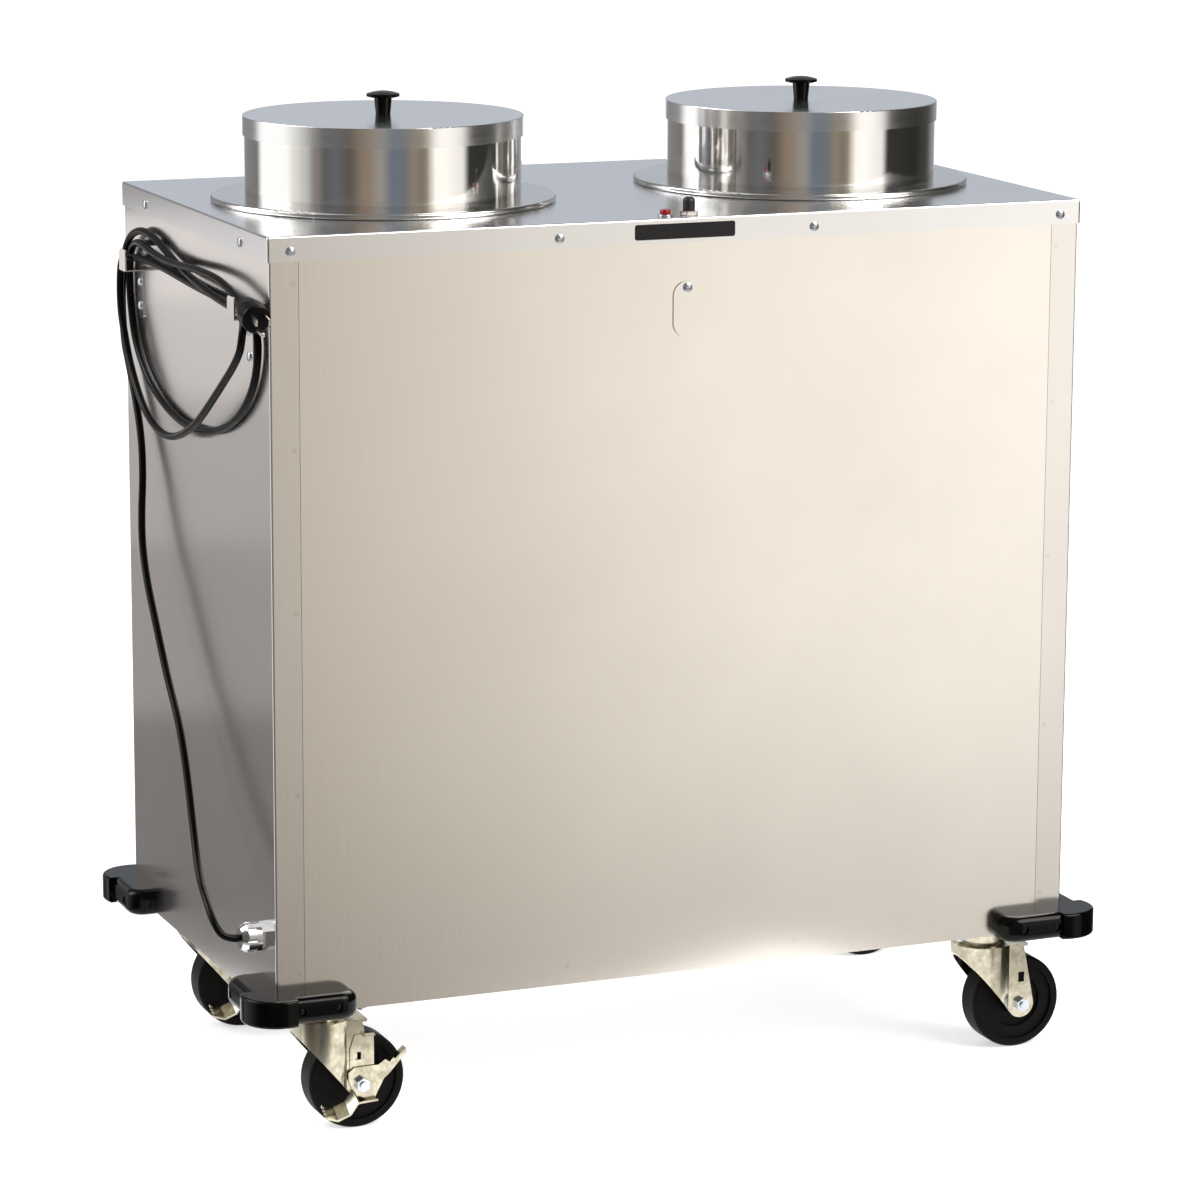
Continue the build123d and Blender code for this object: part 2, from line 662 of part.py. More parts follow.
def fork(x, y):
    reach = TRAIL + FORK_FOOT
    outside = fork_plan(CROWN_RADIUS, FORK_HALF_WIDTH, reach)
    inside = fork_plan(CROWN_RADIUS - FORK_SHEET, FORK_INNER, 2 * reach)
    under = CROWN_TOP - FORK_SHEET
    crown = bar((0, 0, CROWN_TOP - CROWN_DEPTH), (0, 0, CROWN_TOP), CROWN_RADIUS)
    crown = fillet(circles_of(crown, CROWN_RADIUS), CROWN_ROUND)
    crown += block((0, CROWN_TAIL), (-FORK_HALF_WIDTH, FORK_HALF_WIDTH), (under, CROWN_TOP))
    body = extrude(outside, CROWN_TOP) & extrude(fork_side(), CROWN_RADIUS, both=True)
    body += crown
    body -= extrude(inside, under)
    body -= bar((0, 0, under), (0, 0, CROWN_TOP), KINGPIN_RADIUS + RUNNING_CLEARANCE)
    hole = AXLE_RADIUS + SCREW_CLEARANCE
    body -= bar((TRAIL, -FORK_HALF_WIDTH, WHEEL_RADIUS), (TRAIL, FORK_HALF_WIDTH, WHEEL_RADIUS), hole)
    slot_z = WHEEL_RADIUS + FORK_SLOT_RISE
    slot_x = (TRAIL - FORK_SLOT_WIDTH / 2, TRAIL + FORK_SLOT_WIDTH / 2)
    slot_y = (-FORK_HALF_WIDTH, FORK_HALF_WIDTH)
    body -= block(slot_x, slot_y, (slot_z, slot_z + FORK_SLOT_HEIGHT))
    return Pos(x, y, 0) * body


def brake_plate(x, y):
    """Plate on the outer leg, with a window and a tab bent out at its top."""
    outline = Polyline(
        (-BRAKE_PLATE_FRONT, 0),
        (-BRAKE_PLATE_FRONT, BRAKE_PLATE_RISE - BRAKE_PLATE_SLOPE),
        (BRAKE_PLATE_BEVEL - BRAKE_PLATE_FRONT, BRAKE_PLATE_RISE),
        (BRAKE_PLATE_BACK, BRAKE_PLATE_RISE),
        (BRAKE_PLATE_BACK, 0),
        close=True,
    )
    flat = make_face(outline) + Circle(BRAKE_PLATE_FRONT)
    flat -= Circle(AXLE_RADIUS + SCREW_CLEARANCE)
    window = Rectangle(BRAKE_WINDOW_WIDTH, BRAKE_WINDOW_HEIGHT)
    flat -= Pos(-BRAKE_WINDOW_FRONT, BRAKE_WINDOW_RISE) * window
    plate = extrude(Plane.XZ * flat, BRAKE_PLATE_SHEET)
    tab_x = (BRAKE_PLATE_BACK - BRAKE_TAB_WIDTH, BRAKE_PLATE_BACK)
    tab_z = (BRAKE_PLATE_RISE - BRAKE_PLATE_SHEET, BRAKE_PLATE_RISE)
    plate += block(tab_x, (-BRAKE_TAB_DEPTH, 0), tab_z)
    return Pos(x + TRAIL, y - FORK_HALF_WIDTH, WHEEL_RADIUS) * plate


LEVER_BACK = -FORK_HALF_WIDTH - BRAKE_PLATE_SHEET - FIT_GAP
LEVER_FACE = LEVER_BACK - BRAKE_LEVER_SHEET


def strip(points):
    """Edge view of a strip of the lever's sheet along a bent line."""
    pieces = []
    for first, second in zip(points, points[1:]):
        start, end = Vector(*first), Vector(*second)
        along = end - start
        angle = Vector(1, 0, 0).get_signed_angle(along, Vector(0, 0, 1))
        middle = (start + end) / 2
        flat = Rectangle(along.length, BRAKE_LEVER_SHEET)
        pieces.append(Pos(middle.X, middle.Y) * Rot(0, 0, angle) * flat)
    pieces += [Pos(*point) * Circle(BRAKE_LEVER_SHEET / 2) for point in points[1:-1]]
    view = pieces[0]
    for piece in pieces[1:]:
        view += piece
    return view


def toe_way():
    """Direction in which the toe's sheet runs out from the lever, sloping down."""
    return Vector(0, -1, 0).rotate(Axis.X, BRAKE_TOE_SLOPE)


def toe_gaps():
    """Cuts between the teeth at the end of the toe."""
    pitch = BRAKE_TOE_DEPTH / BRAKE_TEETH
    tip_x, tip_z = LEVER_TOE[-1]
    depth = (-BRAKE_TOOTH_DEPTH, BRAKE_TOOTH_DEPTH)
    gap = block(depth, (-BRAKE_TOOTH_GAP / 2, BRAKE_TOOTH_GAP / 2), depth)
    gaps = []
    for step in range(1, BRAKE_TEETH):
        middle = Vector(tip_x, 0, tip_z) + toe_way() * (step * pitch)
        gaps.append(Pos(middle.X, middle.Y, middle.Z) * gap)
    return gaps


def brake_lever(x, y):
    """Rocker on the axle: a lock pedal at the back, a sloping toothed toe in front, a flange below."""
    flat = make_face(Polyline(*LEVER_OUTLINE, close=True)) - Circle(AXLE_RADIUS + RUNNING_CLEARANCE)
    lever = extrude(Plane.XZ * flat, BRAKE_LEVER_SHEET)
    lever += extrude(Plane.XZ * strip(LEVER_PEDAL), BRAKE_PEDAL_DEPTH)
    lever += extrude(Plane.XZ * strip(LEVER_TOE), BRAKE_TOE_DEPTH, dir=toe_way())
    lever += extrude(Plane.XZ * strip(LEVER_FLANGE), BRAKE_FLANGE_DEPTH)
    return Pos(x + TRAIL, y + LEVER_BACK, WHEEL_RADIUS) * (lever - toe_gaps())


def axle_stack(braked):
    """Distance from the fork's middle to the nut's seat."""
    return -LEVER_FACE + FIT_GAP if braked else FORK_HALF_WIDTH


def axle(x, y, braked):
    """Axle bolt, its nut and the bearing sleeve that the wheel turns on."""
    axle_x, seat = x + TRAIL, axle_stack(braked)
    tip = y - seat - AXLE_NUT - AXLE_TAIL
    bolt = bar((axle_x, tip, WHEEL_RADIUS), (axle_x, y + FORK_HALF_WIDTH, WHEEL_RADIUS), AXLE_RADIUS)
    head = Plane(origin=(axle_x, y + FORK_HALF_WIDTH, WHEEL_RADIUS), z_dir=(0, 1, 0))
    bolt += head * hexagon(AXLE_FLATS, AXLE_HEAD)
    nut = Plane(origin=(axle_x, y - seat, WHEEL_RADIUS), z_dir=(0, -1, 0))
    bolt += nut * hexagon(AXLE_FLATS, AXLE_NUT)
    half = FORK_INNER - FIT_GAP
    sleeve = tube(AXLE_RADIUS + RUNNING_CLEARANCE, SLEEVE_RADIUS, -half, half)
    return group([bolt, Pos(axle_x, y, WHEEL_RADIUS) * Rot(90, 0, 0) * sleeve])


def wheel(x, y):
    hub = FORK_INNER - RUNNING_GAP
    bore = SLEEVE_RADIUS + RUNNING_CLEARANCE
    tread = WHEEL_TREAD / 2
    rim = WHEEL_RADIUS - WHEEL_RIM
    step = (rim + WHEEL_HUB_RADIUS) / 2
    web = WHEEL_WEB / 2
    side = [
        (bore, hub),
        (WHEEL_HUB_RADIUS, hub),
        (WHEEL_HUB_RADIUS, web),
        (step, web),
        (step, web + WHEEL_STEP),
        (rim, web + WHEEL_STEP),
        (rim, tread),
        (WHEEL_RADIUS, tread),
    ]
    body = turned(side + [(radius, -offset) for radius, offset in reversed(side)])
    body = fillet(circles_of(body, WHEEL_RADIUS), WHEEL_TREAD_ROUND)
    return Pos(x + TRAIL, y, WHEEL_RADIUS) * Rot(90, 0, 0) * body


# Plate stacks


def polar(radius, angle, z):
    return (radius * cos(radians(angle)), radius * sin(radians(angle)), z)


def flange_ring(x):
    """Ring on the deck with a rolled bead outside and a collar down into the well."""
    ring = turned([
        (WELL_RADIUS, DECK_TOP - COLLAR_DEPTH),
        (WELL_RADIUS + FLANGE_SHEET, DECK_TOP - COLLAR_DEPTH),
        (WELL_RADIUS + FLANGE_SHEET, FLANGE_UNDER),
        (FLANGE_RADIUS - FLANGE_BEAD, FLANGE_UNDER),
        (FLANGE_RADIUS - FLANGE_BEAD, DECK_TOP),
        (FLANGE_RADIUS, DECK_TOP),
        (FLANGE_RADIUS, FLANGE_TOP),
        (WELL_RADIUS, FLANGE_TOP),
    ])
    ring = fillet(circles_of(ring, FLANGE_RADIUS), FLANGE_BEAD_ROUND)
    return Pos(x, 0, 0) * ring


def guide_frame(x):
    """Three guide rods that stand on a ring and carry the flange ring."""
    half = GUIDE_RING_WIDTH / 2
    foot = PAN_TOP + GUIDE_RING_SHEET
    solids = [Pos(x, 0, 0) * tube(GUIDE_CIRCLE - half, GUIDE_CIRCLE + half, PAN_TOP, foot)]
    for angle in GUIDE_ANGLES:
        low, high = polar(GUIDE_CIRCLE, angle, foot), polar(GUIDE_CIRCLE, angle, FLANGE_UNDER)
        solids.append(Pos(x, 0, 0) * bar(low, high, GUIDE_RADIUS))
    return group(solids)


def carrier(x):
    """Plate carrier: a disc on a skirt, with arms and sleeves that run on the rods."""
    disc = bar((0, 0, CARRIER_TOP - CARRIER_SHEET), (0, 0, CARRIER_TOP), CARRIER_RADIUS)
    skirt_top = CARRIER_TOP - CARRIER_SHEET
    arm_bottom = CARRIER_ARM_TOP - CARRIER_ARM_SHEET
    skirt_inner = CARRIER_SKIRT_RADIUS - CARRIER_SHEET
    body = disc + tube(skirt_inner, CARRIER_SKIRT_RADIUS, CARRIER_ARM_TOP, skirt_top)
    body += tube(CARRIER_SKIRT_RADIUS / 2, CARRIER_SKIRT_RADIUS, arm_bottom, CARRIER_ARM_TOP)
    half = CARRIER_ARM_WIDTH / 2
    bores = []
    for angle in GUIDE_ANGLES:
        turn = Rot(0, 0, angle)
        arm_x = (CARRIER_SKIRT_RADIUS - half, GUIDE_CIRCLE)
        body += turn * block(arm_x, (-half, half), (arm_bottom, CARRIER_ARM_TOP))
        low = polar(GUIDE_CIRCLE, angle, SLEEVE_BOTTOM)
        high = polar(GUIDE_CIRCLE, angle, CARRIER_ARM_TOP)
        body += bar(low, high, CARRIER_SLEEVE_RADIUS)
        spring = polar(GUIDE_CIRCLE, angle + SPRING_STEP, SLEEVE_BOTTOM)
        reach = 2 * GUIDE_CIRCLE * sin(radians(SPRING_STEP / 2)) + CARRIER_LUG_WIDTH / 2
        lug_y = (-CARRIER_LUG_WIDTH / 2, CARRIER_LUG_WIDTH / 2)
        lug = block((0, reach), lug_y, (0, CARRIER_ARM_SHEET))
        body += Pos(*low) * Rot(0, 0, angle + 90 + SPRING_STEP / 2) * lug
        body += bar(spring, spring[:2] + (SLEEVE_BOTTOM + CARRIER_ARM_SHEET,), SPRING_RADIUS)
        bores.append(bar(low, high, GUIDE_RADIUS + FIT_GAP))
    return Pos(x, 0, 0) * (body - bores)


def springs(x):
    """Lift springs from the carrier's lugs up to the flange ring."""
    solids = []
    low = SLEEVE_BOTTOM + CARRIER_ARM_SHEET
    for angle in GUIDE_ANGLES:
        coil = tube(SPRING_RADIUS - SPRING_WIRE, SPRING_RADIUS, low, FLANGE_UNDER)
        place = polar(GUIDE_CIRCLE, angle + SPRING_STEP, 0)
        solids.append(Pos(x + place[0], place[1], 0) * coil)
    return group(solids)


def lid_wall(x):
    return Pos(x, 0, 0) * tube(LID_RADIUS - LID_SHEET, LID_RADIUS, FLANGE_TOP, CAP_UNDER)


def lid_cap(x):
    """Flat cap with a rim that sleeves over the lid's wall."""
    inner = LID_RADIUS + LID_FIT
    outer = inner + CAP_RIM_SHEET
    cap = turned([
        (0, CAP_UNDER),
        (inner, CAP_UNDER),
        (inner, LID_TOP - CAP_RIM),
        (outer, LID_TOP - CAP_RIM),
        (outer, LID_TOP),
        (0, LID_TOP),
    ])
    cap = fillet(circles_of(cap, outer).sort_by(Axis.Z)[-1], CAP_ROUND)
    return Pos(x, 0, 0) * cap


def lid_knob(x):
    """Mushroom knob: a stem that flares out to a rim under a low dome."""
    rim_top = KNOB_HEIGHT - KNOB_DOME
    flare_top = rim_top - KNOB_RIM
    ball = (KNOB_RADIUS ** 2 + KNOB_DOME ** 2) / (2 * KNOB_DOME)
    half_radius = KNOB_RADIUS / 2
    half_way = KNOB_HEIGHT - ball + (ball ** 2 - half_radius ** 2) ** 0.5
    side = Polyline(
        (0, 0, KNOB_HEIGHT),
        (0, 0, 0),
        (KNOB_FOOT_RADIUS, 0, 0),
        (KNOB_NECK_RADIUS, 0, flare_top - KNOB_FLARE),
        (KNOB_RADIUS, 0, flare_top),
        (KNOB_RADIUS, 0, rim_top),
    )
    dome = ThreePointArc((KNOB_RADIUS, 0, rim_top), (half_radius, 0, half_way), (0, 0, KNOB_HEIGHT))
    knob = revolve(make_face(side.edges() + dome.edges()), Axis.Z)
    return Pos(x, 0, LID_TOP) * knob


# Controls


def indicator_bezel():
    bezel = turned([
        (0, -LAMP_BARREL_DEPTH),
        (LAMP_BARREL_RADIUS, -LAMP_BARREL_DEPTH),
        (LAMP_BARREL_RADIUS, 0),
        (LAMP_BEZEL_RADIUS, 0),
        (LAMP_BEZEL_RADIUS, LAMP_BEZEL_HEIGHT),
        (0, LAMP_BEZEL_HEIGHT),
    ])
    rim = circles_of(bezel, LAMP_BEZEL_RADIUS).sort_by(Axis.Z)[-1]
    return Pos(LAMP_X, CONTROL_Y, DECK_TOP) * fillet(rim, LAMP_BEZEL_HEIGHT / 2)


def indicator_lens():
    low = DECK_TOP + LAMP_BEZEL_HEIGHT
    lens = bar((LAMP_X, CONTROL_Y, low), (LAMP_X, CONTROL_Y, low + LAMP_LENS_HEIGHT), LAMP_LENS_RADIUS)
    return fillet(circles_of(lens, LAMP_LENS_RADIUS).sort_by(Axis.Z)[-1], LAMP_LENS_HEIGHT / 3)


def switch_body():
    """Switch housing under the deck, its bush and the nut that holds it."""
    half = SWITCH_BODY / 2
    housing = block((-half, half), (-half / 2, half / 2), (-SWITCH_BODY_DEPTH, -DECK_SHEET))
    housing += bar((0, 0, -DECK_SHEET), (0, 0, SWITCH_BUSH_RISE), SWITCH_BUSH_RADIUS)
    nut = hexagon(SWITCH_FLATS, SWITCH_NUT_HEIGHT)
    nut -= bar((0, 0, 0), (0, 0, SWITCH_BUSH_RISE), SWITCH_BUSH_RADIUS + RUNNING_CLEARANCE)
    nut -= bar((0, 0, SWITCH_BUSH_RISE), (0, 0, SWITCH_NUT_HEIGHT), BOOT_RADIUS + RUNNING_GAP)
    place = Pos(SWITCH_X, CONTROL_Y, DECK_TOP)
    return group([place * housing, place * nut])


def switch_boot():
    low = DECK_TOP + SWITCH_BUSH_RISE + SWITCH_TRAVEL + FIT_GAP
    high = DECK_TOP + SWITCH_NUT_HEIGHT + BOOT_HEIGHT
    boot = bar((SWITCH_X, CONTROL_Y, low), (SWITCH_X, CONTROL_Y, high), BOOT_RADIUS)
    return fillet(circles_of(boot, BOOT_RADIUS).sort_by(Axis.Z)[-1], BOOT_ROUND)


def thermostat_body():
    """Thermostat on two legs behind the front panel."""
    back = THERMOSTAT_FACE + THERMOSTAT_LENGTH
    body = bar((0, THERMOSTAT_FACE, THERMOSTAT_Z), (0, back, THERMOSTAT_Z), THERMOSTAT_RADIUS)
    inside = -PANEL_Y + PANEL_SHEET
    for side in (-1, 1):
        leg_x = mirrored(THERMOSTAT_RADIUS - THERMOSTAT_LEG, THERMOSTAT_RADIUS, side)
        leg_z = (THERMOSTAT_Z - THERMOSTAT_LEG / 2, THERMOSTAT_Z + THERMOSTAT_LEG / 2)
        body += block(leg_x, (inside, THERMOSTAT_FACE + THERMOSTAT_LEG), leg_z)
    bore = SHAFT_RADIUS + RUNNING_CLEARANCE
    bore_end = THERMOSTAT_FACE + THERMOSTAT_LENGTH / 2
    return body - bar((0, THERMOSTAT_FACE, THERMOSTAT_Z), (0, bore_end, THERMOSTAT_Z), bore)


def thermostat_shaft():
    """Adjusting shaft with a screwdriver slot, behind the access hole."""
    tip = -PANEL_Y + 2 * PANEL_SHEET
    root = THERMOSTAT_FACE + THERMOSTAT_LENGTH / 2 - FIT_GAP
    shaft = bar((0, tip, THERMOSTAT_Z), (0, root, THERMOSTAT_Z), SHAFT_RADIUS)
    half = SHAFT_SLOT / 2
    slot_z = (THERMOSTAT_Z - half, THERMOSTAT_Z + half)
    return shaft - block((-SHAFT_RADIUS, SHAFT_RADIUS), (tip, tip + SHAFT_SLOT), slot_z)


def thermostat_cover():
    """Obround plate that swings on its screw to bare the access hole."""
    plate = SlotOverall(COVER_LENGTH, COVER_WIDTH, rotation=90)
    solid = extrude(Plane.XZ * plate, COVER_SHEET)
    solid = Pos(0, COVER_BACK, COVER_TOP_Z - COVER_LENGTH / 2) * solid
    return solid - screw_holes(cover_screw_seats())


# Heating


def heating_element(x):
    """Open ring of sheathed tube whose two ends turn down into a terminal block."""
    section = Plane.XZ * (Pos(HEATER_RADIUS, HEATER_Z) * Circle(HEATER_TUBE))
    start = (HEATER_SWEEP - 360) / 2
    ring = Rot(0, 0, -90 - start) * revolve(section, Axis.Z, HEATER_SWEEP)
    for angle in (-90 - start, -90 + start):
        top = polar(HEATER_RADIUS, angle, HEATER_Z)
        ring += Pos(*top) * Sphere(HEATER_TUBE)
        ring += bar(polar(HEATER_RADIUS, angle, PAN_TOP + TERMINAL_HEIGHT), top, HEATER_TUBE)
    return Pos(x, 0, 0) * ring


def heater_supports():
    """Posts under each heating element, and the blocks that its ends stand on."""
    solids = []
    half = HEATER_POST / 2
    for x in STACKS.values():
        for angle in HEATER_POSTS:
            place = polar(HEATER_RADIUS, angle, PAN_TOP)
            post = block((-half, half), (-half, half), (0, HEATER_RISE - HEATER_TUBE - FIT_GAP))
            solids.append(Pos(x, 0, 0) * Pos(*place) * Rot(0, 0, angle) * post)
        reach = HEATER_RADIUS * cos(radians((360 - HEATER_SWEEP) / 2))
        block_y = (-reach - TERMINAL_WIDTH / 2, -reach + TERMINAL_WIDTH / 2)
        block_x = (x - TERMINAL_LENGTH / 2, x + TERMINAL_LENGTH / 2)
        solids.append(block(block_x, block_y, (PAN_TOP, PAN_TOP + TERMINAL_HEIGHT)))
    return group(solids)


# Cord entry, hooks, cord and plug


def beside(stand_off, y, z):
    """Point at a distance out from the left side panel."""
    return (-PANEL_X - stand_off, y, z)


def cord_grip_body():
    """Hexagon outside the panel and thread through it into the terminal box."""
    outward = Plane(origin=beside(0, GRIP_Y, GRIP_Z), z_dir=(-1, 0, 0))
    body = outward * hexagon(GRIP_FLATS, GRIP_BODY)
    return body + bar(beside(-GRIP_THREAD, GRIP_Y, GRIP_Z), beside(0, GRIP_Y, GRIP_Z), GRIP_THREAD_RADIUS)


def cord_grip_nut():
    """Fluted clamping nut whose nose holds the cord."""
    nut = turned([
        (0, 0),
        (GRIP_NUT_RADIUS, 0),
        (GRIP_NUT_RADIUS, GRIP_NUT_LENGTH - GRIP_NOSE_LENGTH),
        (GRIP_NOSE_RADIUS, GRIP_NUT_LENGTH),
        (0, GRIP_NUT_LENGTH),
    ])
    for step in range(GRIP_NUT_FLUTES):
        place = polar(GRIP_NUT_RADIUS + GRIP_FLUTE_RADIUS / 2, step * 360 / GRIP_NUT_FLUTES, 0)
        low = place[:2] + (GRIP_COLLAR,)
        high = place[:2] + (GRIP_NUT_LENGTH,)
        nut -= bar(low, high, GRIP_FLUTE_RADIUS)
    return Plane(origin=beside(GRIP_BODY, GRIP_Y, GRIP_Z), z_dir=(-1, 0, 0)) * nut


def cord_grip_locknut():
    seat = beside(-PANEL_SHEET - BOX_SHEET, GRIP_Y, GRIP_Z)
    nut = hexagon(GRIP_FLATS, GRIP_LOCKNUT)
    nut -= bar((0, 0, 0), (0, 0, GRIP_LOCKNUT), GRIP_THREAD_RADIUS + RUNNING_CLEARANCE)
    return Plane(origin=seat, z_dir=(1, 0, 0)) * nut


def terminal_box():
    """Open box behind the cord entry, clamped by the locknut."""
    wall = -PANEL_X + PANEL_SHEET
    half_y, half_z = BOX_WIDTH / 2, BOX_HEIGHT / 2
    outer_y = (GRIP_Y - half_y, GRIP_Y + half_y)
    outer = block((wall, wall + BOX_DEPTH), outer_y, (GRIP_Z - half_z, GRIP_Z + half_z))
    in_y, in_z = half_y - BOX_SHEET, half_z - BOX_SHEET
    inner_x = (wall + BOX_SHEET, wall + BOX_DEPTH)
    box = outer - block(inner_x, (GRIP_Y - in_y, GRIP_Y + in_y), (GRIP_Z - in_z, GRIP_Z + in_z))
    hole = GRIP_THREAD_RADIUS + SCREW_CLEARANCE
    return box - bar((wall, GRIP_Y, GRIP_Z), (wall + BOX_SHEET, GRIP_Y, GRIP_Z), hole)


def cord_hook(y):
    """Strip on the panel, bent out to a shelf and up to a tip."""
    low = HOOK_SHELF_Z - HOOK_PLATE
    shelf = HOOK_SHELF_Z - HOOK_SHEET
    tip = shelf + HOOK_TIP
    width = (y - HOOK_WIDTH / 2, y + HOOK_WIDTH / 2)
    plate = block((-PANEL_X - HOOK_SHEET, -PANEL_X), width, (low, HOOK_SHELF_Z))
    plate = fillet(plate.edges().filter_by(Axis.X).sort_by(Axis.Z)[:2], HOOK_ROUND)
    lip = block((-PANEL_X - HOOK_REACH, -PANEL_X - HOOK_REACH + HOOK_SHEET), width, (shelf, tip))
    lip = fillet(lip.edges().filter_by(Axis.X).sort_by(Axis.Z)[-2:], HOOK_ROUND)
    return plate + lip + block((-PANEL_X - HOOK_REACH, -PANEL_X), width, (shelf, HOOK_SHELF_Z))


def cord_hooks():
    hooks = [cord_hook(y) - screw_holes(hook_screw_seats()) for y in (-HOOK_Y, HOOK_Y)]
    return group(hooks)


# Cord points are a stand-off from the side panel, then Y and Z
CORD_RUN = [
    (28, -213, 216),
    (43, -213, 216),
    (52, -206, 231),
    (52, -182, 248),
    (46, -138, 262),
    (38, -96, 298),
    (31, -52, 353),
    (28, -19, 393),
    (26, 26, 430),
    (25, 66, 477),
    (24, 102, 519),
    (21, 127, 553),
    (18, 137, 587),
    (14, 143, 622),
    (10, 160, 662),
    (8, 190, 704.5),
    (8, 213, 737),
]

# Over the hooks for the first time: high at the back hook, low at the front one
FIRST_PASS = [
    (8, 213, 737),
    (8, 224.5, 753.25),
    (8, 230, 790),
    (8, 226, 833),
    (8, 204, 866),
    (7, 160, 880),
    (6, 112, 876),
    (6, 62, 864),
    (6.5, 14, 855),
    (11, -40, 851),
    (13.5, -95, 847),
    (13.5, -150, 843),
    (13.5, -199, 841.5),
    (16, -213, 835),
    (20.5, -221, 821),
    (21.5, -214, 800),
]
SECOND_PASS = [
    (13.4, 218, 823),
    (13.4, 210, 845),
    (12.4, 181, 848),
    (7.5, 140, 850),
    (5, 92, 848.5),
    (5, 38, 846),
    (5, -22, 843.5),
    (5, -88, 842),
    (5, -150, 841.5),
    (5, -190, 841),
    (5, -212, 835),
]
THIRD_PASS = [
    (4.6, 213, 823),
    (4.6, 207, 851),
    (8, 178, 864),
    (12.5, 138, 867),
    (14, 96, 863),
    (14.5, 50, 861),
    (PLUG_STAND_OFF, 4, 862),
    (PLUG_STAND_OFF, -42, 865),
    (PLUG_STAND_OFF, -88, 866),
    (PLUG_STAND_OFF, -128, 865),
    (PLUG_STAND_OFF, -160, 860.5),
    (PLUG_STAND_OFF, PLUG_ROOT_Y + PLUG_LEAD * cos(radians(PLUG_TILT)),
     PLUG_ROOT_Z + PLUG_LEAD * sin(radians(PLUG_TILT))),
    (PLUG_STAND_OFF, PLUG_ROOT_Y, PLUG_ROOT_Z),
]
HANGING_STEPS = 8


def hanging_loop(middle, half_span, lean, levels, drop, power, out, first_step):
    """Points of a loop that hangs from the front hook back to the rear one."""
    points = []
    for step in range(first_step, HANGING_STEPS + 1):
        angle = pi * step / HANGING_STEPS
        share = step / HANGING_STEPS
        y = middle - half_span * cos(angle) + lean * sin(angle) ** 2
        level = sum(levels) / 2 + (levels[0] - levels[1]) / 2 * cos(angle)
        z = level - drop * sin(angle) ** power
        points.append((out[0] + (out[1] - out[0]) * share, y, z))
    return points


def hank_points():
    """The whole wound length, from the run's end to the plug."""
    outer_loop = hanging_loop(-3, 221, 45, (827, 795), 134, 1.9, (22, 13.4), 2)
    inner_loop = hanging_loop(-8, 218, 0, (810, 795), 108, 1.0, (5, 4.6), 0)
    return FIRST_PASS + outer_loop + SECOND_PASS + inner_loop + THIRD_PASS


def cord_path(points):
    """Straight runs joined by the largest tangent arcs that the runs allow."""
    places = [Vector(*beside(*point)) for point in points]
    radii = []
    for before, corner, after in zip(places, places[1:], places[2:]):
        arriving, leaving = corner - before, after - corner
        turn = radians(arriving.get_angle(leaving))
        radii.append(ARC_SHARE * min(arriving.length, leaving.length) / tan(turn / 2))
    return FilletPolyline(*places, radius=radii), radii


def cord_tube(label, points):
    """Round cord along a path; prints its length, its bends and its volume test."""
    path, radii = cord_path(points)
    section = Plane(origin=path @ 0, z_dir=path % 0) * Circle(CORD_RADIUS)
    solid = sweep(section, path=path)
    expected = pi * CORD_RADIUS ** 2 * path.length
    print(label, "length", round(path.length, 1), "volume ratio", round(solid.volume / expected, 5))
    print(label, "bend radii", [round(radius) for radius in radii])
    return solid


def least_gap(points, samples=700):
    """Least clear gap of a wound cord to itself, on sampled points."""
    path, _ = cord_path(points)
    places = [path @ (step / samples) for step in range(samples + 1)]
    spacing = path.length / samples
    skip = int(6 * CORD_RADIUS / spacing) + 1
    nearest = min(
        (places[i] - places[j]).length
        for i in range(len(places))
        for j in range(i + skip, len(places))
    )
    return nearest - 2 * CORD_RADIUS


def plug_face():
    """Plane on the plug's face, its Z towards the cord and its Y down the face."""
    back = Vector(0, cos(radians(PLUG_TILT)), sin(radians(PLUG_TILT)))
    root = Vector(*beside(PLUG_STAND_OFF, PLUG_ROOT_Y, PLUG_ROOT_Z))
    return Plane(origin=root - back * (PLUG_LENGTH + RELIEF_LENGTH), x_dir=(1, 0, 0), z_dir=back)


def plug_body():
    """Moulded plug with a tapered strain relief, its nose hanging a little."""
    plug = turned([
        (0, 0),
        (PLUG_RADIUS, 0),
        (PLUG_RADIUS, PLUG_LENGTH / 2),
        (PLUG_NECK_RADIUS, PLUG_LENGTH),
        (RELIEF_ROOT_RADIUS, PLUG_LENGTH),
        (RELIEF_RADIUS, PLUG_LENGTH + RELIEF_LENGTH),
        (0, PLUG_LENGTH + RELIEF_LENGTH),
    ])
    plug = fillet(circles_of(plug, PLUG_RADIUS).sort_by(Axis.Z)[0], PLUG_ROUND)
    return plug_face() * plug


def plug_pins():
    """Two flat blades and a round earth pin below them."""
    pins = []
    for side in (-1, 1):
        middle = side * BLADE_SPACING / 2
        blade_x = (middle - BLADE_SHEET / 2, middle + BLADE_SHEET / 2)
        blade_y = (-BLADE_RISE - BLADE_WIDTH / 2, -BLADE_RISE + BLADE_WIDTH / 2)
        pins.append(block(blade_x, blade_y, (-BLADE_LENGTH, 0)))
    earth_y = GROUND_DROP - BLADE_RISE
    earth = bar((0, earth_y, 0), (0, earth_y, -GROUND_LENGTH), GROUND_RADIUS)
    pins.append(fillet(circles_of(earth, GROUND_RADIUS).sort_by(Axis.Z)[0], GROUND_RADIUS / 2))
    return group(plug_face() * pin for pin in pins)


# Assembly: one entry per node


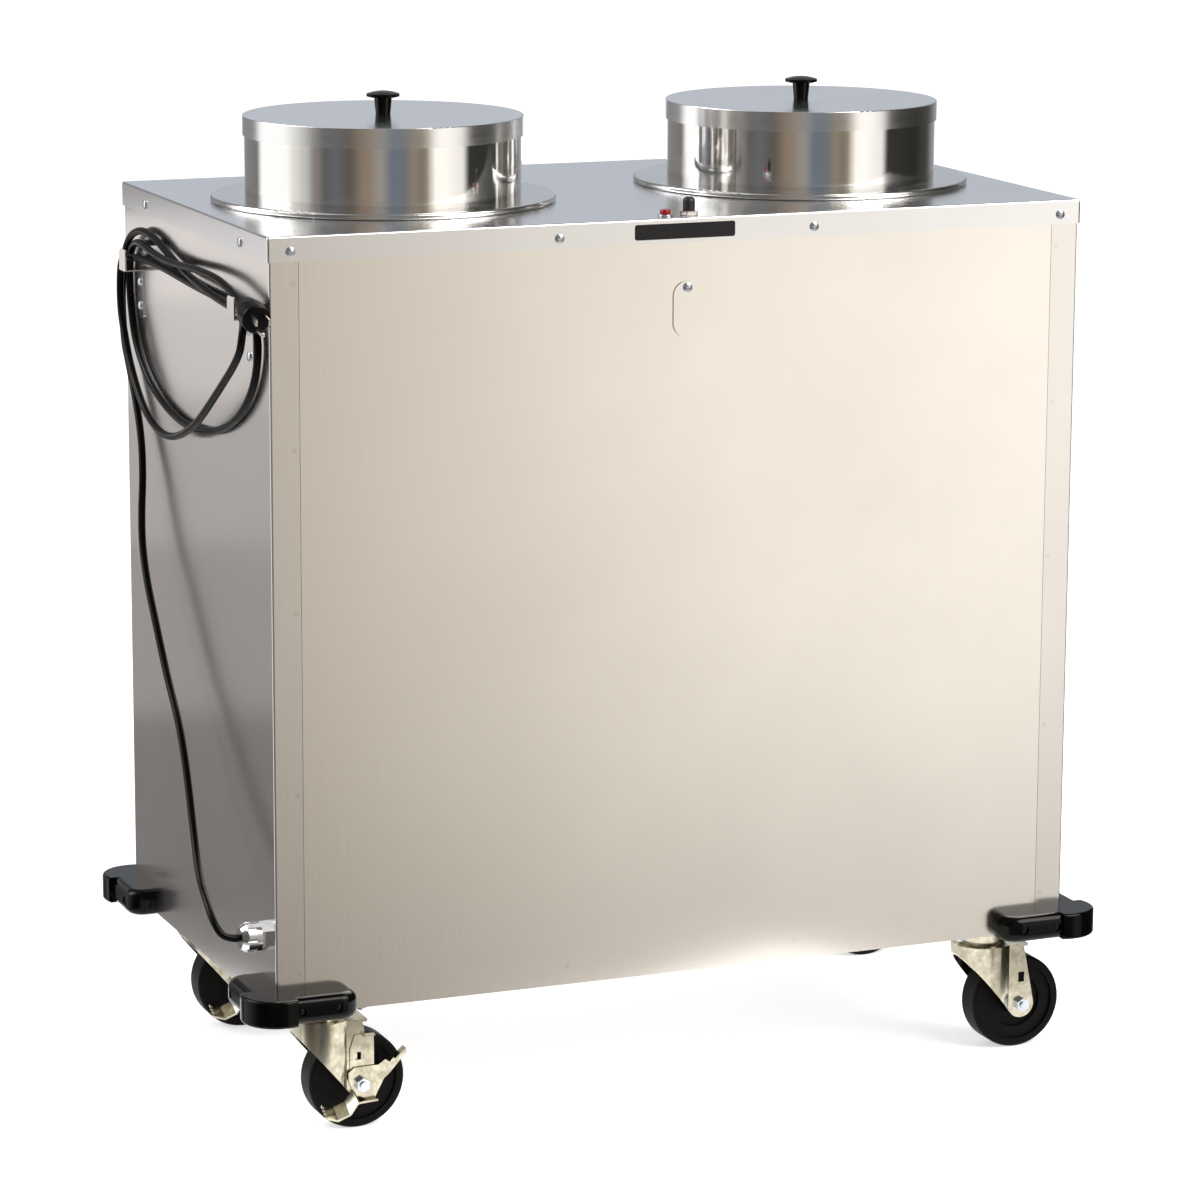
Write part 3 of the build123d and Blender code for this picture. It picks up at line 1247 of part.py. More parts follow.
def cabinet_nodes():
    return {
        "top_deck": top_deck(),
        "left_side_panel": side_panel(-1),
        "right_side_panel": side_panel(1),
        "front_panel": front_panel(),
        "rear_panel": end_panel(1),
        "base_pan": base_pan(),
        "caster_backing_plates": backing_plates(),
        "corner_bumpers": corner_bumpers(),
        "bumper_screws": group(
            screw(seat, way, BUMPER_SCREW_HEAD, BUMPER_SCREW_LENGTH) for seat, way in bumper_screw_seats()
        ),
        "apron_screws": group(screw(seat, way) for seat, way in apron_screw_seats()),
        "cord_hook_screws": group(screw(seat, way) for seat, way in hook_screw_seats()),
        "thermostat_cover_screw": group(screw(seat, way) for seat, way in cover_screw_seats()),
        "caster_top_plates": caster_top_plates(),
        "caster_bolts": caster_bolts(),
        "heating_elements": group(heating_element(x) for x in STACKS.values()),
        "heater_supports": heater_supports(),
    }


def control_nodes():
    return {
        "indicator_bezel": indicator_bezel(),
        "indicator_lens": indicator_lens(),
        "switch_body": switch_body(),
        "switch_boot": switch_boot(),
        "thermostat_body": thermostat_body(),
        "thermostat_shaft": thermostat_shaft(),
        "thermostat_cover": thermostat_cover(),
    }


def cord_nodes():
    hank = hank_points()
    print("power_cord_hank least gap to itself", round(least_gap(hank), 2))
    return {
        "cord_hooks": cord_hooks(),
        "cord_grip_body": cord_grip_body(),
        "cord_grip_nut": cord_grip_nut(),
        "cord_grip_locknut": cord_grip_locknut(),
        "terminal_box": terminal_box(),
        "power_cord_run": cord_tube("power_cord_run", CORD_RUN),
        "power_cord_hank": cord_tube("power_cord_hank", hank),
        "plug_body": plug_body(),
        "plug_pins": plug_pins(),
    }


def stack_nodes(side, x):
    return {
        side + "_flange_ring": flange_ring(x),
        side + "_guide_frame": guide_frame(x),
        side + "_springs": springs(x),
        side + "_carrier": carrier(x),
        side + "_lid_wall": lid_wall(x),
        side + "_lid_cap": lid_cap(x),
        side + "_lid_knob": lid_knob(x),
    }


def caster_nodes(corner, x, y, braked):
    forks = [fork(x, y)] + ([brake_plate(x, y)] if braked else [])
    nodes = {
        corner + "_fork": group(forks),
        corner + "_axle": axle(x, y, braked),
        corner + "_wheel": wheel(x, y),
    }
    if braked:
        nodes[corner + "_brake_lever"] = brake_lever(x, y)
    return nodes


def all_nodes():
    nodes = {**cabinet_nodes(), **control_nodes(), **cord_nodes()}
    for side, x in STACKS.items():
        nodes.update(stack_nodes(side, x))
    for corner, (x, y, braked) in CASTERS.items():
        nodes.update(caster_nodes(corner, x, y, braked))
    return nodes


for name, shape in all_nodes().items():
    export_step(shape, "parts/" + name + ".step")
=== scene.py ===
"""Looks of the heated plate dispenser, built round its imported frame.

Metres. The floor is Z = 0, the front panel faces -Y and the cord leaves the left side, at -X.
"""

import math

import bpy
from mathutils import Matrix, Vector


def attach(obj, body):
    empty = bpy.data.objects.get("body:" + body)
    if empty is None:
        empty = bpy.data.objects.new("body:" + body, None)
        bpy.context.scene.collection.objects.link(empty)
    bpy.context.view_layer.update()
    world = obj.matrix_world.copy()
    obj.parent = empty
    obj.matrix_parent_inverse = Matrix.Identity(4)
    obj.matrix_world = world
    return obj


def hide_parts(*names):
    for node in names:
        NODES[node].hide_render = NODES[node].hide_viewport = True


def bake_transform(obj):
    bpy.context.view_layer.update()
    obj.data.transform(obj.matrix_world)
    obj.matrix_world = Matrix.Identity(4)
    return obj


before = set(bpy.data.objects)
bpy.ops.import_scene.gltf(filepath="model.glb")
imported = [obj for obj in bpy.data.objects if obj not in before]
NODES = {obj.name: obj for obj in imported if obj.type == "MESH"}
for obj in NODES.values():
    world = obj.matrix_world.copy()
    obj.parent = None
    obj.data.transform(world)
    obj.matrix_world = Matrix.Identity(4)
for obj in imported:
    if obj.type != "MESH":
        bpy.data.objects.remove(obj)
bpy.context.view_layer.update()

MM = 0.001

# Camera
LENS = 138.0
SENSOR = 36.0
CAMERA_PLACE = (-1.811, -4.429, 1.492)
CAMERA_YAW = 22.32
CAMERA_PITCH = 11.91
CAMERA_ROLL = -0.26

# Faces that the pieces of this script sit on, millimetres
PANEL_X = 438.5
DECK_FRONT = 245.0
DECK_TOP = 920.0
STACK_X = 234.5

# The cord, as stand-off from the left side panel, Y and Z, millimetres
CORD_DIAMETER = 7.8
CORD_FACETS = 6
CORD_STEPS = 8
CORD_RUN = [
    (28, -213, 216), (43, -213, 216), (52, -206, 231), (52, -182, 248), (46, -138, 262),
    (38, -96, 298), (31, -52, 353), (28, -19, 393), (26, 26, 430), (25, 66, 477),
    (24, 102, 519), (21, 127, 553), (18, 137, 587), (14, 143, 622), (10, 160, 662),
    (8, 190, 704.5),
]
FIRST_PASS = [
    (8, 213, 737), (8, 224.5, 753.25), (8, 230, 790), (8, 226, 833), (8, 204, 866),
    (7, 160, 880), (6, 112, 876), (6, 62, 864), (6.5, 14, 855), (11, -40, 851),
    (13.5, -95, 847), (13.5, -150, 843), (13.5, -199, 841.5), (16, -213, 835),
    (20.5, -221, 821), (21.5, -214, 800),
]
SECOND_PASS = [
    (13.4, 218, 823), (13.4, 210, 845), (12.4, 181, 848), (7.5, 140, 850), (5, 92, 848.5),
    (5, 38, 846), (5, -22, 843.5), (5, -88, 842), (5, -150, 841.5), (5, -190, 841),
    (5, -212, 835),
]
THIRD_PASS = [
    (4.6, 213, 823), (4.6, 207, 851), (8, 178, 864), (12.5, 138, 867), (14, 96, 863),
    (14.5, 50, 861), (14.9, 4, 862), (14.9, -42, 865), (14.9, -88, 866), (14.9, -128, 865),
    (14.9, -160, 860.5), (14.9, -179.98, 856.618), (14.9, -197, 853),
]
HANGING_STEPS = 8


def hanging_loop(middle, half_span, lean, levels, drop, power, out, first_step):
    """Points of a loop that hangs from the front hook back to the rear one."""
    points = []
    for step in range(first_step, HANGING_STEPS + 1):
        angle = math.pi * step / HANGING_STEPS
        share = step / HANGING_STEPS
        y = middle - half_span * math.cos(angle) + lean * math.sin(angle) ** 2
        level = sum(levels) / 2 + (levels[0] - levels[1]) / 2 * math.cos(angle)
        z = level - drop * math.sin(angle) ** power
        points.append((out[0] + (out[1] - out[0]) * share, y, z))
    return points


OUTER_LOOP = hanging_loop(-3, 221, 45, (827, 795), 134, 1.9, (22, 13.4), 2)
INNER_LOOP = hanging_loop(-8, 218, 0, (810, 795), 108, 1.0, (5, 4.6), 0)
CORD_ROUTE = CORD_RUN + FIRST_PASS + OUTER_LOOP + SECOND_PASS + INNER_LOOP + THIRD_PASS


def beside(stand_off, y, z):
    """A place off the left side panel, in metres."""
    return Vector((-PANEL_X - stand_off, y, z)) * MM


# Materials

# Scales of the surface noise, per metre
BRUSH_ACROSS = 1300.0
BRUSH_ALONG = 12.0
SHEET_CLOUDS = 3.5
RING_LINES = 900.0
SPUN_CLOUDS = 14.0
MOTTLE = 90.0
PLATED_GRAIN = 1400.0
WEAR = 38.0

# Stretch of the gloss on upright brushing, and the tones and size of darker patches
UPRIGHT_STRETCH = 0.6
CLOUD_SHADE = 0.95
SPUN_SHADE = 0.9
MARK_SHADE = 0.62
MARK_RADIUS = 3.6
MARK_STRENGTH = 0.2

# Half the height over which plating gives way to a moulded case, millimetres
PLATING_EDGE = 0.05

# Depths of the bump, metres
SHEET_BUMP = 0.0002
GRAIN_BUMP = 0.0003
MOULD_BUMP = 0.0004


class Tree:
    """Short calls for the nodes of a material or a world."""

    def __init__(self, tree):
        self.nodes = tree.nodes
        self.links = tree.links

    def add(self, kind, inputs=None, **settings):
        node = self.nodes.new(kind)
        for key, value in settings.items():
            setattr(node, key, value)
        for key, value in (inputs or {}).items():
            if isinstance(value, bpy.types.NodeSocket):
                self.links.new(value, node.inputs[key])
            else:
                node.inputs[key].default_value = value
        return node

    def spread(self, factor, low, high, start=0.3, end=0.7, **settings):
        """A factor carried from its usual range to another."""
        inputs = {"Value": factor, "From Min": start, "From Max": end, "To Min": low, "To Max": high}
        return self.add("ShaderNodeMapRange", inputs, **settings).outputs[0]

    def sum(self, first, second):
        return self.add("ShaderNodeMath", {0: first, 1: second}, operation="ADD").outputs[0]

    def blend(self, factor, first, second, **settings):
        """Colour between two others, either of them a socket."""
        node = self.add("ShaderNodeMix", {0: factor}, data_type="RGBA", **settings)
        for socket, value in ((node.inputs[6], first), (node.inputs[7], second)):
            if isinstance(value, bpy.types.NodeSocket):
                self.links.new(value, socket)
            else:
                socket.default_value = (*value, 1.0)
        return node.outputs[2]

    def ramp(self, angle, reach, stops):
        """Tones at angles in degrees, eased from one to the next, between -reach and reach."""
        share = self.spread(angle, 0.0, 1.0, -reach, reach)
        node = self.add("ShaderNodeValToRGB", {0: share})
        node.color_ramp.interpolation = "EASE"
        elements = node.color_ramp.elements
        while len(elements) > 1:
            elements.remove(elements[-1])
        for index, (degrees, tone) in enumerate(stops):
            place = 0.5 + math.radians(degrees) / (2 * reach)
            element = elements[0] if index == 0 else elements.new(place)
            element.position = place
            element.color = (*tone, 1.0) if isinstance(tone, tuple) else (tone, tone, tone, 1.0)
        return node.outputs[0]


class Finish(Tree):
    """One material and the calls that the finishes share."""

    def __init__(self, name, **sockets):
        self.material = bpy.data.materials.new(name)
        self.material.use_nodes = True
        super().__init__(self.material.node_tree)
        self.shader = self.nodes["Principled BSDF"]
        for socket, value in sockets.items():
            self.shader.inputs[socket.replace("_", " ")].default_value = value
        self.place = self.add("ShaderNodeTexCoord").outputs["Object"]

    def noise(self, scale, detail=2.0, rough=0.5, place=None):
        """Noise of one scale, or with a scale of its own along each axis."""
        scales = (scale, scale, scale) if isinstance(scale, float) else scale
        mapping = self.add("ShaderNodeMapping", {"Vector": place or self.place, "Scale": scales})
        inputs = {"Vector": mapping.outputs[0], "Scale": 1.0, "Detail": detail, "Roughness": rough}
        return self.add("ShaderNodeTexNoise", inputs).outputs["Fac"]

    def spot(self, x, z, strength):
        """A soft round mark on an upright face, the same on the left and the right."""
        split = self.add("ShaderNodeSeparateXYZ", {0: self.place})
        across = self.add("ShaderNodeMath", {0: split.outputs["X"]}, operation="ABSOLUTE")
        inputs = {"X": across.outputs[0], "Z": split.outputs["Z"]}
        flat = self.add("ShaderNodeCombineXYZ", inputs).outputs[0]
        inputs = {0: flat, 1: (x * MM, 0.0, z * MM)}
        away = self.add("ShaderNodeVectorMath", inputs, operation="DISTANCE").outputs["Value"]
        return self.spread(away, strength, 0.0, MARK_RADIUS * MM / 2, MARK_RADIUS * MM)

    def colour(self, socket):
        self.links.new(socket, self.shader.inputs["Base Color"])

    def rough(self, socket):
        self.links.new(socket, self.shader.inputs["Roughness"])

    def bump(self, height, strength, depth):
        inputs = {"Height": height, "Strength": strength, "Distance": depth}
        node = self.add("ShaderNodeBump", inputs)
        self.links.new(node.outputs[0], self.shader.inputs["Normal"])


def shade(colour, factor):
    return tuple(min(1.0, channel * factor) for channel in colour)


def brushed(name, colour, grain, rough, contrast=0.025, bump=0.03, marks=()):
    """Sheet steel with fine brushing along one axis, a faint cloudiness and spot-weld marks."""
    finish = Finish(name, Metallic=1.0, Anisotropic=UPRIGHT_STRETCH if grain == "Z" else 0.0)
    scale = [BRUSH_ACROSS] * 3
    scale["XYZ".index(grain)] = BRUSH_ALONG
    streaks = finish.noise(scale, 3.0, 0.6)
    clouds = finish.noise(SHEET_CLOUDS, 4.0, 0.55)
    tone = finish.blend(
        finish.spread(streaks, 0.0, 1.0), shade(colour, 1 - contrast), shade(colour, 1 + contrast)
    )
    tone = finish.blend(finish.spread(clouds, 0.0, 0.3), tone, shade(colour, CLOUD_SHADE))
    for mark_x, mark_z in marks:
        mark = finish.spot(mark_x, mark_z, MARK_STRENGTH)
        tone = finish.blend(mark, tone, shade(colour, MARK_SHADE))
    finish.colour(tone)
    low, high = rough
    wear = finish.spread(clouds, -0.02, 0.02)
    finish.rough(finish.sum(finish.spread(streaks, low, high), wear))
    finish.bump(streaks, bump, SHEET_BUMP)
    return finish.material


def spun(name, centre_x, colour, rough, contrast=0.03, bump=0.015, satin=0.0):
    """Turned steel, brushed in circles about an upright axis, its upright faces more satin."""
    finish = Finish(name, Metallic=1.0)
    inputs = {"Vector": finish.place, "Location": (-centre_x, 0, 0)}
    moved = finish.add("ShaderNodeMapping", inputs)
    split = finish.add("ShaderNodeSeparateXYZ", {0: moved.outputs[0]}).outputs
    flat = finish.add("ShaderNodeCombineXYZ", {"X": split["X"], "Y": split["Y"]})
    reach = finish.add("ShaderNodeVectorMath", {0: flat.outputs[0]}, operation="LENGTH")
    rings = finish.add("ShaderNodeCombineXYZ", {"X": reach.outputs["Value"], "Y": split["Z"]})
    lines = finish.noise((RING_LINES, RING_LINES, 1.0), 3.0, 0.6, rings.outputs[0])
    clouds = finish.noise(SPUN_CLOUDS, 3.0, 0.5)
    tone = finish.blend(
        finish.spread(lines, 0.0, 1.0), shade(colour, 1 - contrast), shade(colour, 1 + contrast)
    )
    dull = shade(colour, SPUN_SHADE)
    finish.colour(finish.blend(finish.spread(clouds, 0.0, 0.3), tone, dull))
    facing = finish.add("ShaderNodeTexCoord").outputs["Normal"]
    level = finish.add("ShaderNodeSeparateXYZ", {0: facing}).outputs["Z"]
    upright = finish.spread(level, satin, 0.0, 0.2, 0.8)
    low, high = rough
    grain = finish.sum(finish.spread(lines, low, high), finish.spread(clouds, -0.02, 0.02))
    finish.rough(finish.sum(grain, upright))
    finish.bump(lines, bump, SHEET_BUMP)
    return finish.material


def plated(name, colour, dull, rough):
    """Plated steel with a mottled tint."""
    finish = Finish(name, Metallic=1.0)
    mottle = finish.noise(MOTTLE, 4.0, 0.6)
    grain = finish.noise(PLATED_GRAIN)
    finish.colour(finish.blend(finish.spread(mottle, 0.0, 1.0), colour, dull))
    low, high = rough
    fine = finish.spread(grain, -0.03, 0.03)
    finish.rough(finish.sum(finish.spread(mottle, low, high), fine))
    finish.bump(grain, 0.06, GRAIN_BUMP)
    return finish.material


def moulded(name, colour, worn, rough, grain=900.0, bump=0.05, **sockets):
    """Plastic or rubber with a fine moulded grain and paler wear."""
    finish = Finish(name, **sockets)
    wear = finish.noise(WEAR, 5.0, 0.65)
    fine = finish.noise(grain)
    finish.colour(finish.blend(finish.spread(wear, 0.0, 1.0, 0.45, 0.8), colour, worn))
    low, high = rough
    finish.rough(finish.spread(wear, low, high))
    finish.bump(fine, bump, MOULD_BUMP)
    return finish.material


def two_metals(name, level, low, high, rough):
    """Moulded case whose nut and bush, above a level, are plated."""
    finish = Finish(name)
    height = finish.add("ShaderNodeSeparateXYZ", {0: finish.place}).outputs["Z"]
    low_edge, high_edge = (level - PLATING_EDGE) * MM, (level + PLATING_EDGE) * MM
    plating = finish.spread(height, 0.0, 1.0, low_edge, high_edge)
    finish.colour(finish.blend(plating, low, high))
    finish.links.new(plating, finish.shader.inputs["Metallic"])
    grain = finish.noise(PLATED_GRAIN)
    finish.rough(finish.spread(grain, *rough))
    finish.bump(grain, 0.05, GRAIN_BUMP)
    return finish.material


FRONT_MARKS = [(127, 159)]
RETURN_MARKS = [(414, z) for z in (873, 710, 547, 365, 182)]
MATERIALS = {
    "front_steel": brushed(
        "front_steel", (0.85, 0.82, 0.77), "Z", (0.15, 0.19), marks=FRONT_MARKS
    ),
    "side_steel": brushed(
        "side_steel", (0.80, 0.765, 0.74), "Z", (0.16, 0.2), marks=RETURN_MARKS
    ),
    "deck_steel": brushed("deck_steel", (0.84, 0.84, 0.845), "X", (0.20, 0.26)),
    "inner_steel": brushed("inner_steel", (0.62, 0.61, 0.60), "Z", (0.32, 0.45)),
    "zinc": plated("zinc", (0.66, 0.63, 0.51), (0.38, 0.34, 0.25), (0.12, 0.24)),
    "blue_zinc": plated("blue_zinc", (0.70, 0.75, 0.80), (0.55, 0.60, 0.66), (0.16, 0.28)),
    "grip_metal": plated("grip_metal", (0.78, 0.79, 0.80), (0.60, 0.61, 0.63), (0.12, 0.22)),
    "pin_metal": plated("pin_metal", (0.76, 0.73, 0.66), (0.62, 0.57, 0.48), (0.16, 0.28)),
    "spring_wire": plated("spring_wire", (0.56, 0.56, 0.57), (0.42, 0.42, 0.43), (0.22, 0.34)),
    "heater_sheath": plated("heater_sheath", (0.32, 0.30, 0.29), (0.20, 0.18, 0.17), (0.4, 0.55)),
    "black_vinyl": moulded(
        "black_vinyl", (0.0015, 0.0015, 0.0015), (0.003, 0.003, 0.003), (0.09, 0.15), 700.0, 0.01,
        Specular_IOR_Level=0.14,
    ),
    "knob_black": moulded(
        "knob_black", (0.0015, 0.0015, 0.0015), (0.003, 0.003, 0.003), (0.12, 0.2), 1200.0, 0.02,
        Specular_IOR_Level=0.12,
    ),
    "wheel_rubber": moulded(
        "wheel_rubber", (0.0025, 0.0023, 0.0022), (0.007, 0.006, 0.0055), (0.42, 0.6), 1500.0, 0.08,
        Specular_IOR_Level=0.1,
    ),
    "cord_jacket": moulded(
        "cord_jacket", (0.002, 0.002, 0.002), (0.005, 0.005, 0.005), (0.24, 0.34), 1800.0, 0.04,
        Specular_IOR_Level=0.12,
    ),
    "black_screw": plated("black_screw", (0.035, 0.035, 0.036), (0.02, 0.02, 0.02), (0.25, 0.4)),
    "switch_rubber": moulded(
        "switch_rubber", (0.016, 0.016, 0.017), (0.032, 0.032, 0.033), (0.38, 0.5), 2500.0, 0.06
    ),
    "switch_case": moulded(
        "switch_case", (0.028, 0.028, 0.029), (0.045, 0.045, 0.045), (0.45, 0.6), 1500.0, 0.05
    ),
    "switch_metal": two_metals(
        "switch_metal", DECK_TOP + 0.5, (0.028, 0.028, 0.029), (0.72, 0.70, 0.66), (0.2, 0.3)
    ),
    "plate_black": moulded(
        "plate_black", (0.010, 0.009, 0.010), (0.014, 0.013, 0.014), (0.24, 0.32), 1500.0, 0.02,
        Specular_IOR_Level=0.3,
    ),
    "red_lens": moulded(
        "red_lens", (0.40, 0.006, 0.005), (0.30, 0.004, 0.004), (0.08, 0.18), 420.0, 0.08,
        Transmission_Weight=0.2, Coat_Weight=0.3, Coat_Roughness=0.05,
    ),
}
for side, side_x in (("left", -STACK_X), ("right", STACK_X)):
    centre = side_x * MM
    MATERIALS[side + "_cap"] = spun(
        side + "_cap", centre, (0.84, 0.835, 0.83), (0.13, 0.19), bump=0.006, satin=0.05
    )
    MATERIALS[side + "_wall"] = spun(
        side + "_wall", centre, (0.82, 0.81, 0.79), (0.045, 0.08), bump=0.005
    )
    MATERIALS[side + "_flange"] = spun(
        side + "_flange", centre, (0.70, 0.69, 0.68), (0.16, 0.22), bump=0.006
    )
    MATERIALS[side + "_carrier"] = spun(side + "_carrier", centre, (0.70, 0.69, 0.68), (0.24, 0.34))

CORNERS = ["front_left", "front_right", "rear_left", "rear_right"]
BRAKED = ["front_left", "rear_left"]
DRESS = {
    "front_steel": ["front_panel", "rear_panel", "thermostat_cover"],
    "side_steel": ["left_side_panel", "right_side_panel", "cord_hooks"],
    "deck_steel": ["top_deck"],
    "inner_steel": [
        "base_pan", "caster_backing_plates", "left_guide_frame", "right_guide_frame",
        "heater_supports", "terminal_box", "thermostat_shaft",
    ],
    "zinc": [
        "caster_top_plates", *[corner + "_fork" for corner in CORNERS],
        *[corner + "_brake_lever" for corner in BRAKED],
    ],
    "blue_zinc": [
        "apron_screws", "cord_hook_screws", "thermostat_cover_screw",
        "caster_bolts", "indicator_bezel", *[corner + "_axle" for corner in CORNERS],
    ],
    "grip_metal": ["cord_grip_body", "cord_grip_nut", "cord_grip_locknut"],
    "pin_metal": ["plug_pins"],
    "heater_sheath": ["heating_elements"],
    "black_vinyl": ["corner_bumpers"],
    "black_screw": ["bumper_screws"],
    "knob_black": ["left_lid_knob", "right_lid_knob"],
    "wheel_rubber": [corner + "_wheel" for corner in CORNERS],
    "cord_jacket": ["plug_body"],
    "switch_rubber": ["switch_boot"],
    "switch_case": ["thermostat_body"],
    "switch_metal": ["switch_body"],
    "red_lens": ["indicator_lens"],
    "left_cap": ["left_lid_cap"],
    "right_cap": ["right_lid_cap"],
    "left_wall": ["left_lid_wall"],
    "right_wall": ["right_lid_wall"],
    "left_flange": ["left_flange_ring"],
    "right_flange": ["right_flange_ring"],
    "left_carrier": ["left_carrier"],
    "right_carrier": ["right_carrier"],
}
for finish_name, node_names in DRESS.items():
    for node_name in node_names:
        for material_slot in NODES[node_name].material_slots:
            material_slot.material = MATERIALS[finish_name]


# The cord


def make_cord():
    """One smooth cord from its grip, up the side panel and over the hooks to the plug."""
    curve = bpy.data.curves.new("power_cord", "CURVE")
    curve.dimensions = "3D"
    curve.bevel_depth = CORD_DIAMETER * MM / 2
    curve.bevel_resolution = CORD_FACETS
    curve.use_fill_caps = True
    spline = curve.splines.new("NURBS")
    spline.points.add(len(CORD_ROUTE) - 1)
    for point, place in zip(spline.points, CORD_ROUTE):
        point.co = (*beside(*place), 1.0)
    spline.order_u = 3
    spline.use_endpoint_u = True
    spline.resolution_u = CORD_STEPS
    cord = bpy.data.objects.new("power_cord", curve)
    cord.data.materials.append(MATERIALS["cord_jacket"])
    bpy.context.scene.collection.objects.link(cord)
    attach(cord, "cabinet")
    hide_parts("power_cord_run", "power_cord_hank")


make_cord()


# The blank plate on the front apron

PLATE_X = (-57.6, 50.9)
PLATE_Z = (899.4, 914.9)
PLATE_ROUND = 2.5
PLATE_SHEET = 0.4
PLATE_STEPS = 6


def plate_outline():
    """Corners rounded, going round from the upper right, as X and Z."""
    points = []
    for quarter, (side_x, side_z) in enumerate(((1, 1), (-1, 1), (-1, -1), (1, -1))):
        x = PLATE_X[side_x > 0] - side_x * PLATE_ROUND
        z = PLATE_Z[side_z > 0] - side_z * PLATE_ROUND
        for step in range(PLATE_STEPS + 1):
            angle = math.pi / 2 * (quarter + step / PLATE_STEPS)
            points.append((x + PLATE_ROUND * math.cos(angle), z + PLATE_ROUND * math.sin(angle)))
    return points


def make_plate():
    outline = plate_outline()
    count = len(outline)
    corners = [Vector((x, -DECK_FRONT - PLATE_SHEET, z)) * MM for x, z in outline]
    corners += [Vector((x, -DECK_FRONT, z)) * MM for x, z in outline]
    faces = [list(range(count)), list(range(2 * count - 1, count - 1, -1))]
    for first in range(count):
        second = (first + 1) % count
        faces.append([first, first + count, second + count, second])
    mesh = bpy.data.meshes.new("apron_plate")
    mesh.from_pydata(corners, [], faces)
    mesh.materials.append(MATERIALS["plate_black"])
    plate = bpy.data.objects.new("apron_plate", mesh)
    bpy.context.scene.collection.objects.link(plate)
    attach(plate, "cabinet")


make_plate()


# The lift springs

SPRING_CIRCLE = 148.0
SPRING_ANGLES = (100, 220, 340)
SPRING_FOOT = 696.0
SPRING_TOP = 925.0
SPRING_RADIUS = 6.5
SPRING_WIRE = 2.0
SPRING_TURNS = 46
TURN_STEPS = 12
WIRE_SIDES = 6


def coil_corners(x, y):
    """Corners of a wire's rings along one coil, from its foot up."""
    wire = SPRING_WIRE / 2
    steps = SPRING_TURNS * TURN_STEPS
    corners = []
    for step in range(steps + 1):
        turn = 2 * math.pi * step / TURN_STEPS
        height = SPRING_FOOT + wire + (SPRING_TOP - SPRING_FOOT - 2 * wire) * step / steps
        for side in range(WIRE_SIDES):
            angle = 2 * math.pi * side / WIRE_SIDES
            reach = SPRING_RADIUS - wire + wire * math.cos(angle)
            across, along = reach * math.cos(turn), reach * math.sin(turn)
            corners.append(Vector((x + across, y + along, height + wire * math.sin(angle))) * MM)
    return corners


def coil_faces(first):
    """Faces round the wire and over its two ends."""
    last = first + SPRING_TURNS * TURN_STEPS * WIRE_SIDES
    faces = [list(range(first, first + WIRE_SIDES)), list(range(last + WIRE_SIDES - 1, last - 1, -1))]
    for ring in range(first, last, WIRE_SIDES):
        for side in range(WIRE_SIDES):
            here, beyond = ring + side, ring + (side + 1) % WIRE_SIDES
            faces.append([here, here + WIRE_SIDES, beyond + WIRE_SIDES, beyond])
    return faces


def make_springs(side, centre_x):
    """Three coils from the deck to a plate carrier."""
    corners, faces = [], []
    for degrees in SPRING_ANGLES:
        angle = math.radians(degrees)
        faces += coil_faces(len(corners))
        corners += coil_corners(
            centre_x + SPRING_CIRCLE * math.cos(angle), SPRING_CIRCLE * math.sin(angle)
        )
    mesh = bpy.data.meshes.new(side + "_lift_springs")
    mesh.from_pydata(corners, [], faces)
    mesh.materials.append(MATERIALS["spring_wire"])
    for face in mesh.polygons:
        face.use_smooth = True
    coils = bpy.data.objects.new(side + "_lift_springs", mesh)
    bpy.context.scene.collection.objects.link(coils)
    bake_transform(coils)
    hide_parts(side + "_springs")


make_springs("left", -STACK_X)
make_springs("right", STACK_X)


# Studio, as tones at degrees round it from the front and at degrees above the horizon

ROOM = [
    (-178, (0.26, 0.26, 0.27)), (-168, (0.25, 0.24, 0.235)), (-149, (0.22, 0.21, 0.21)),
    (-138, (1.25, 1.25, 1.25)), (-107, (1.25, 1.25, 1.24)), (-98, (0.92, 0.89, 0.83)),
    (-88, (0.64, 0.66, 0.66)), (-77, (0.27, 0.25, 0.23)), (-68, (0.13, 0.13, 0.13)),
    (-60, (0.15, 0.155, 0.165)), (-48, (0.13, 0.115, 0.10)), (-34, (0.30, 0.235, 0.18)),
    (-22, (0.36, 0.33, 0.30)), (-12, (0.17, 0.205, 0.25)), (-3, (0.18, 0.20, 0.22)),
    (6, (0.30, 0.255, 0.20)), (12, (0.25, 0.21, 0.16)), (16, (0.31, 0.27, 0.21)),
    (20, (0.79, 0.735, 0.65)), (24, (1.27, 1.215, 1.135)), (30, (1.30, 1.25, 1.185)),
    (48, (1.08, 1.04, 0.98)),
    (56, (0.04, 0.04, 0.035)), (90, (0.03, 0.03, 0.025)),
    (110, (0.06, 0.06, 0.055)), (136, (0.34, 0.34, 0.36)), (146, (0.52, 0.55, 0.605)),
    (168, (0.54, 0.57, 0.625)), (176, (0.33, 0.34, 0.36)), (180, (0.26, 0.26, 0.27)),
]
FRONT_HEIGHTS = [
    (-90, 0.25), (-30, 0.3), (-20, 0.4), (-16.5, 0.56), (-15, 0.74), (-12.5, 0.92), (-10.5, 1.0),
    (30, 1.0), (55, 0.9), (90, 0.85),
]
BACK_HEIGHTS = [
    (-90, 0.3), (-22, 0.6), (-12, 0.9), (-6, 1.0), (55, 1.0), (90, 0.85),
]
GROUND_TONE = (0.64, 0.64, 0.63)
GROUND_ANGLES = (-31, -24)
BACK_EDGE = 0.3


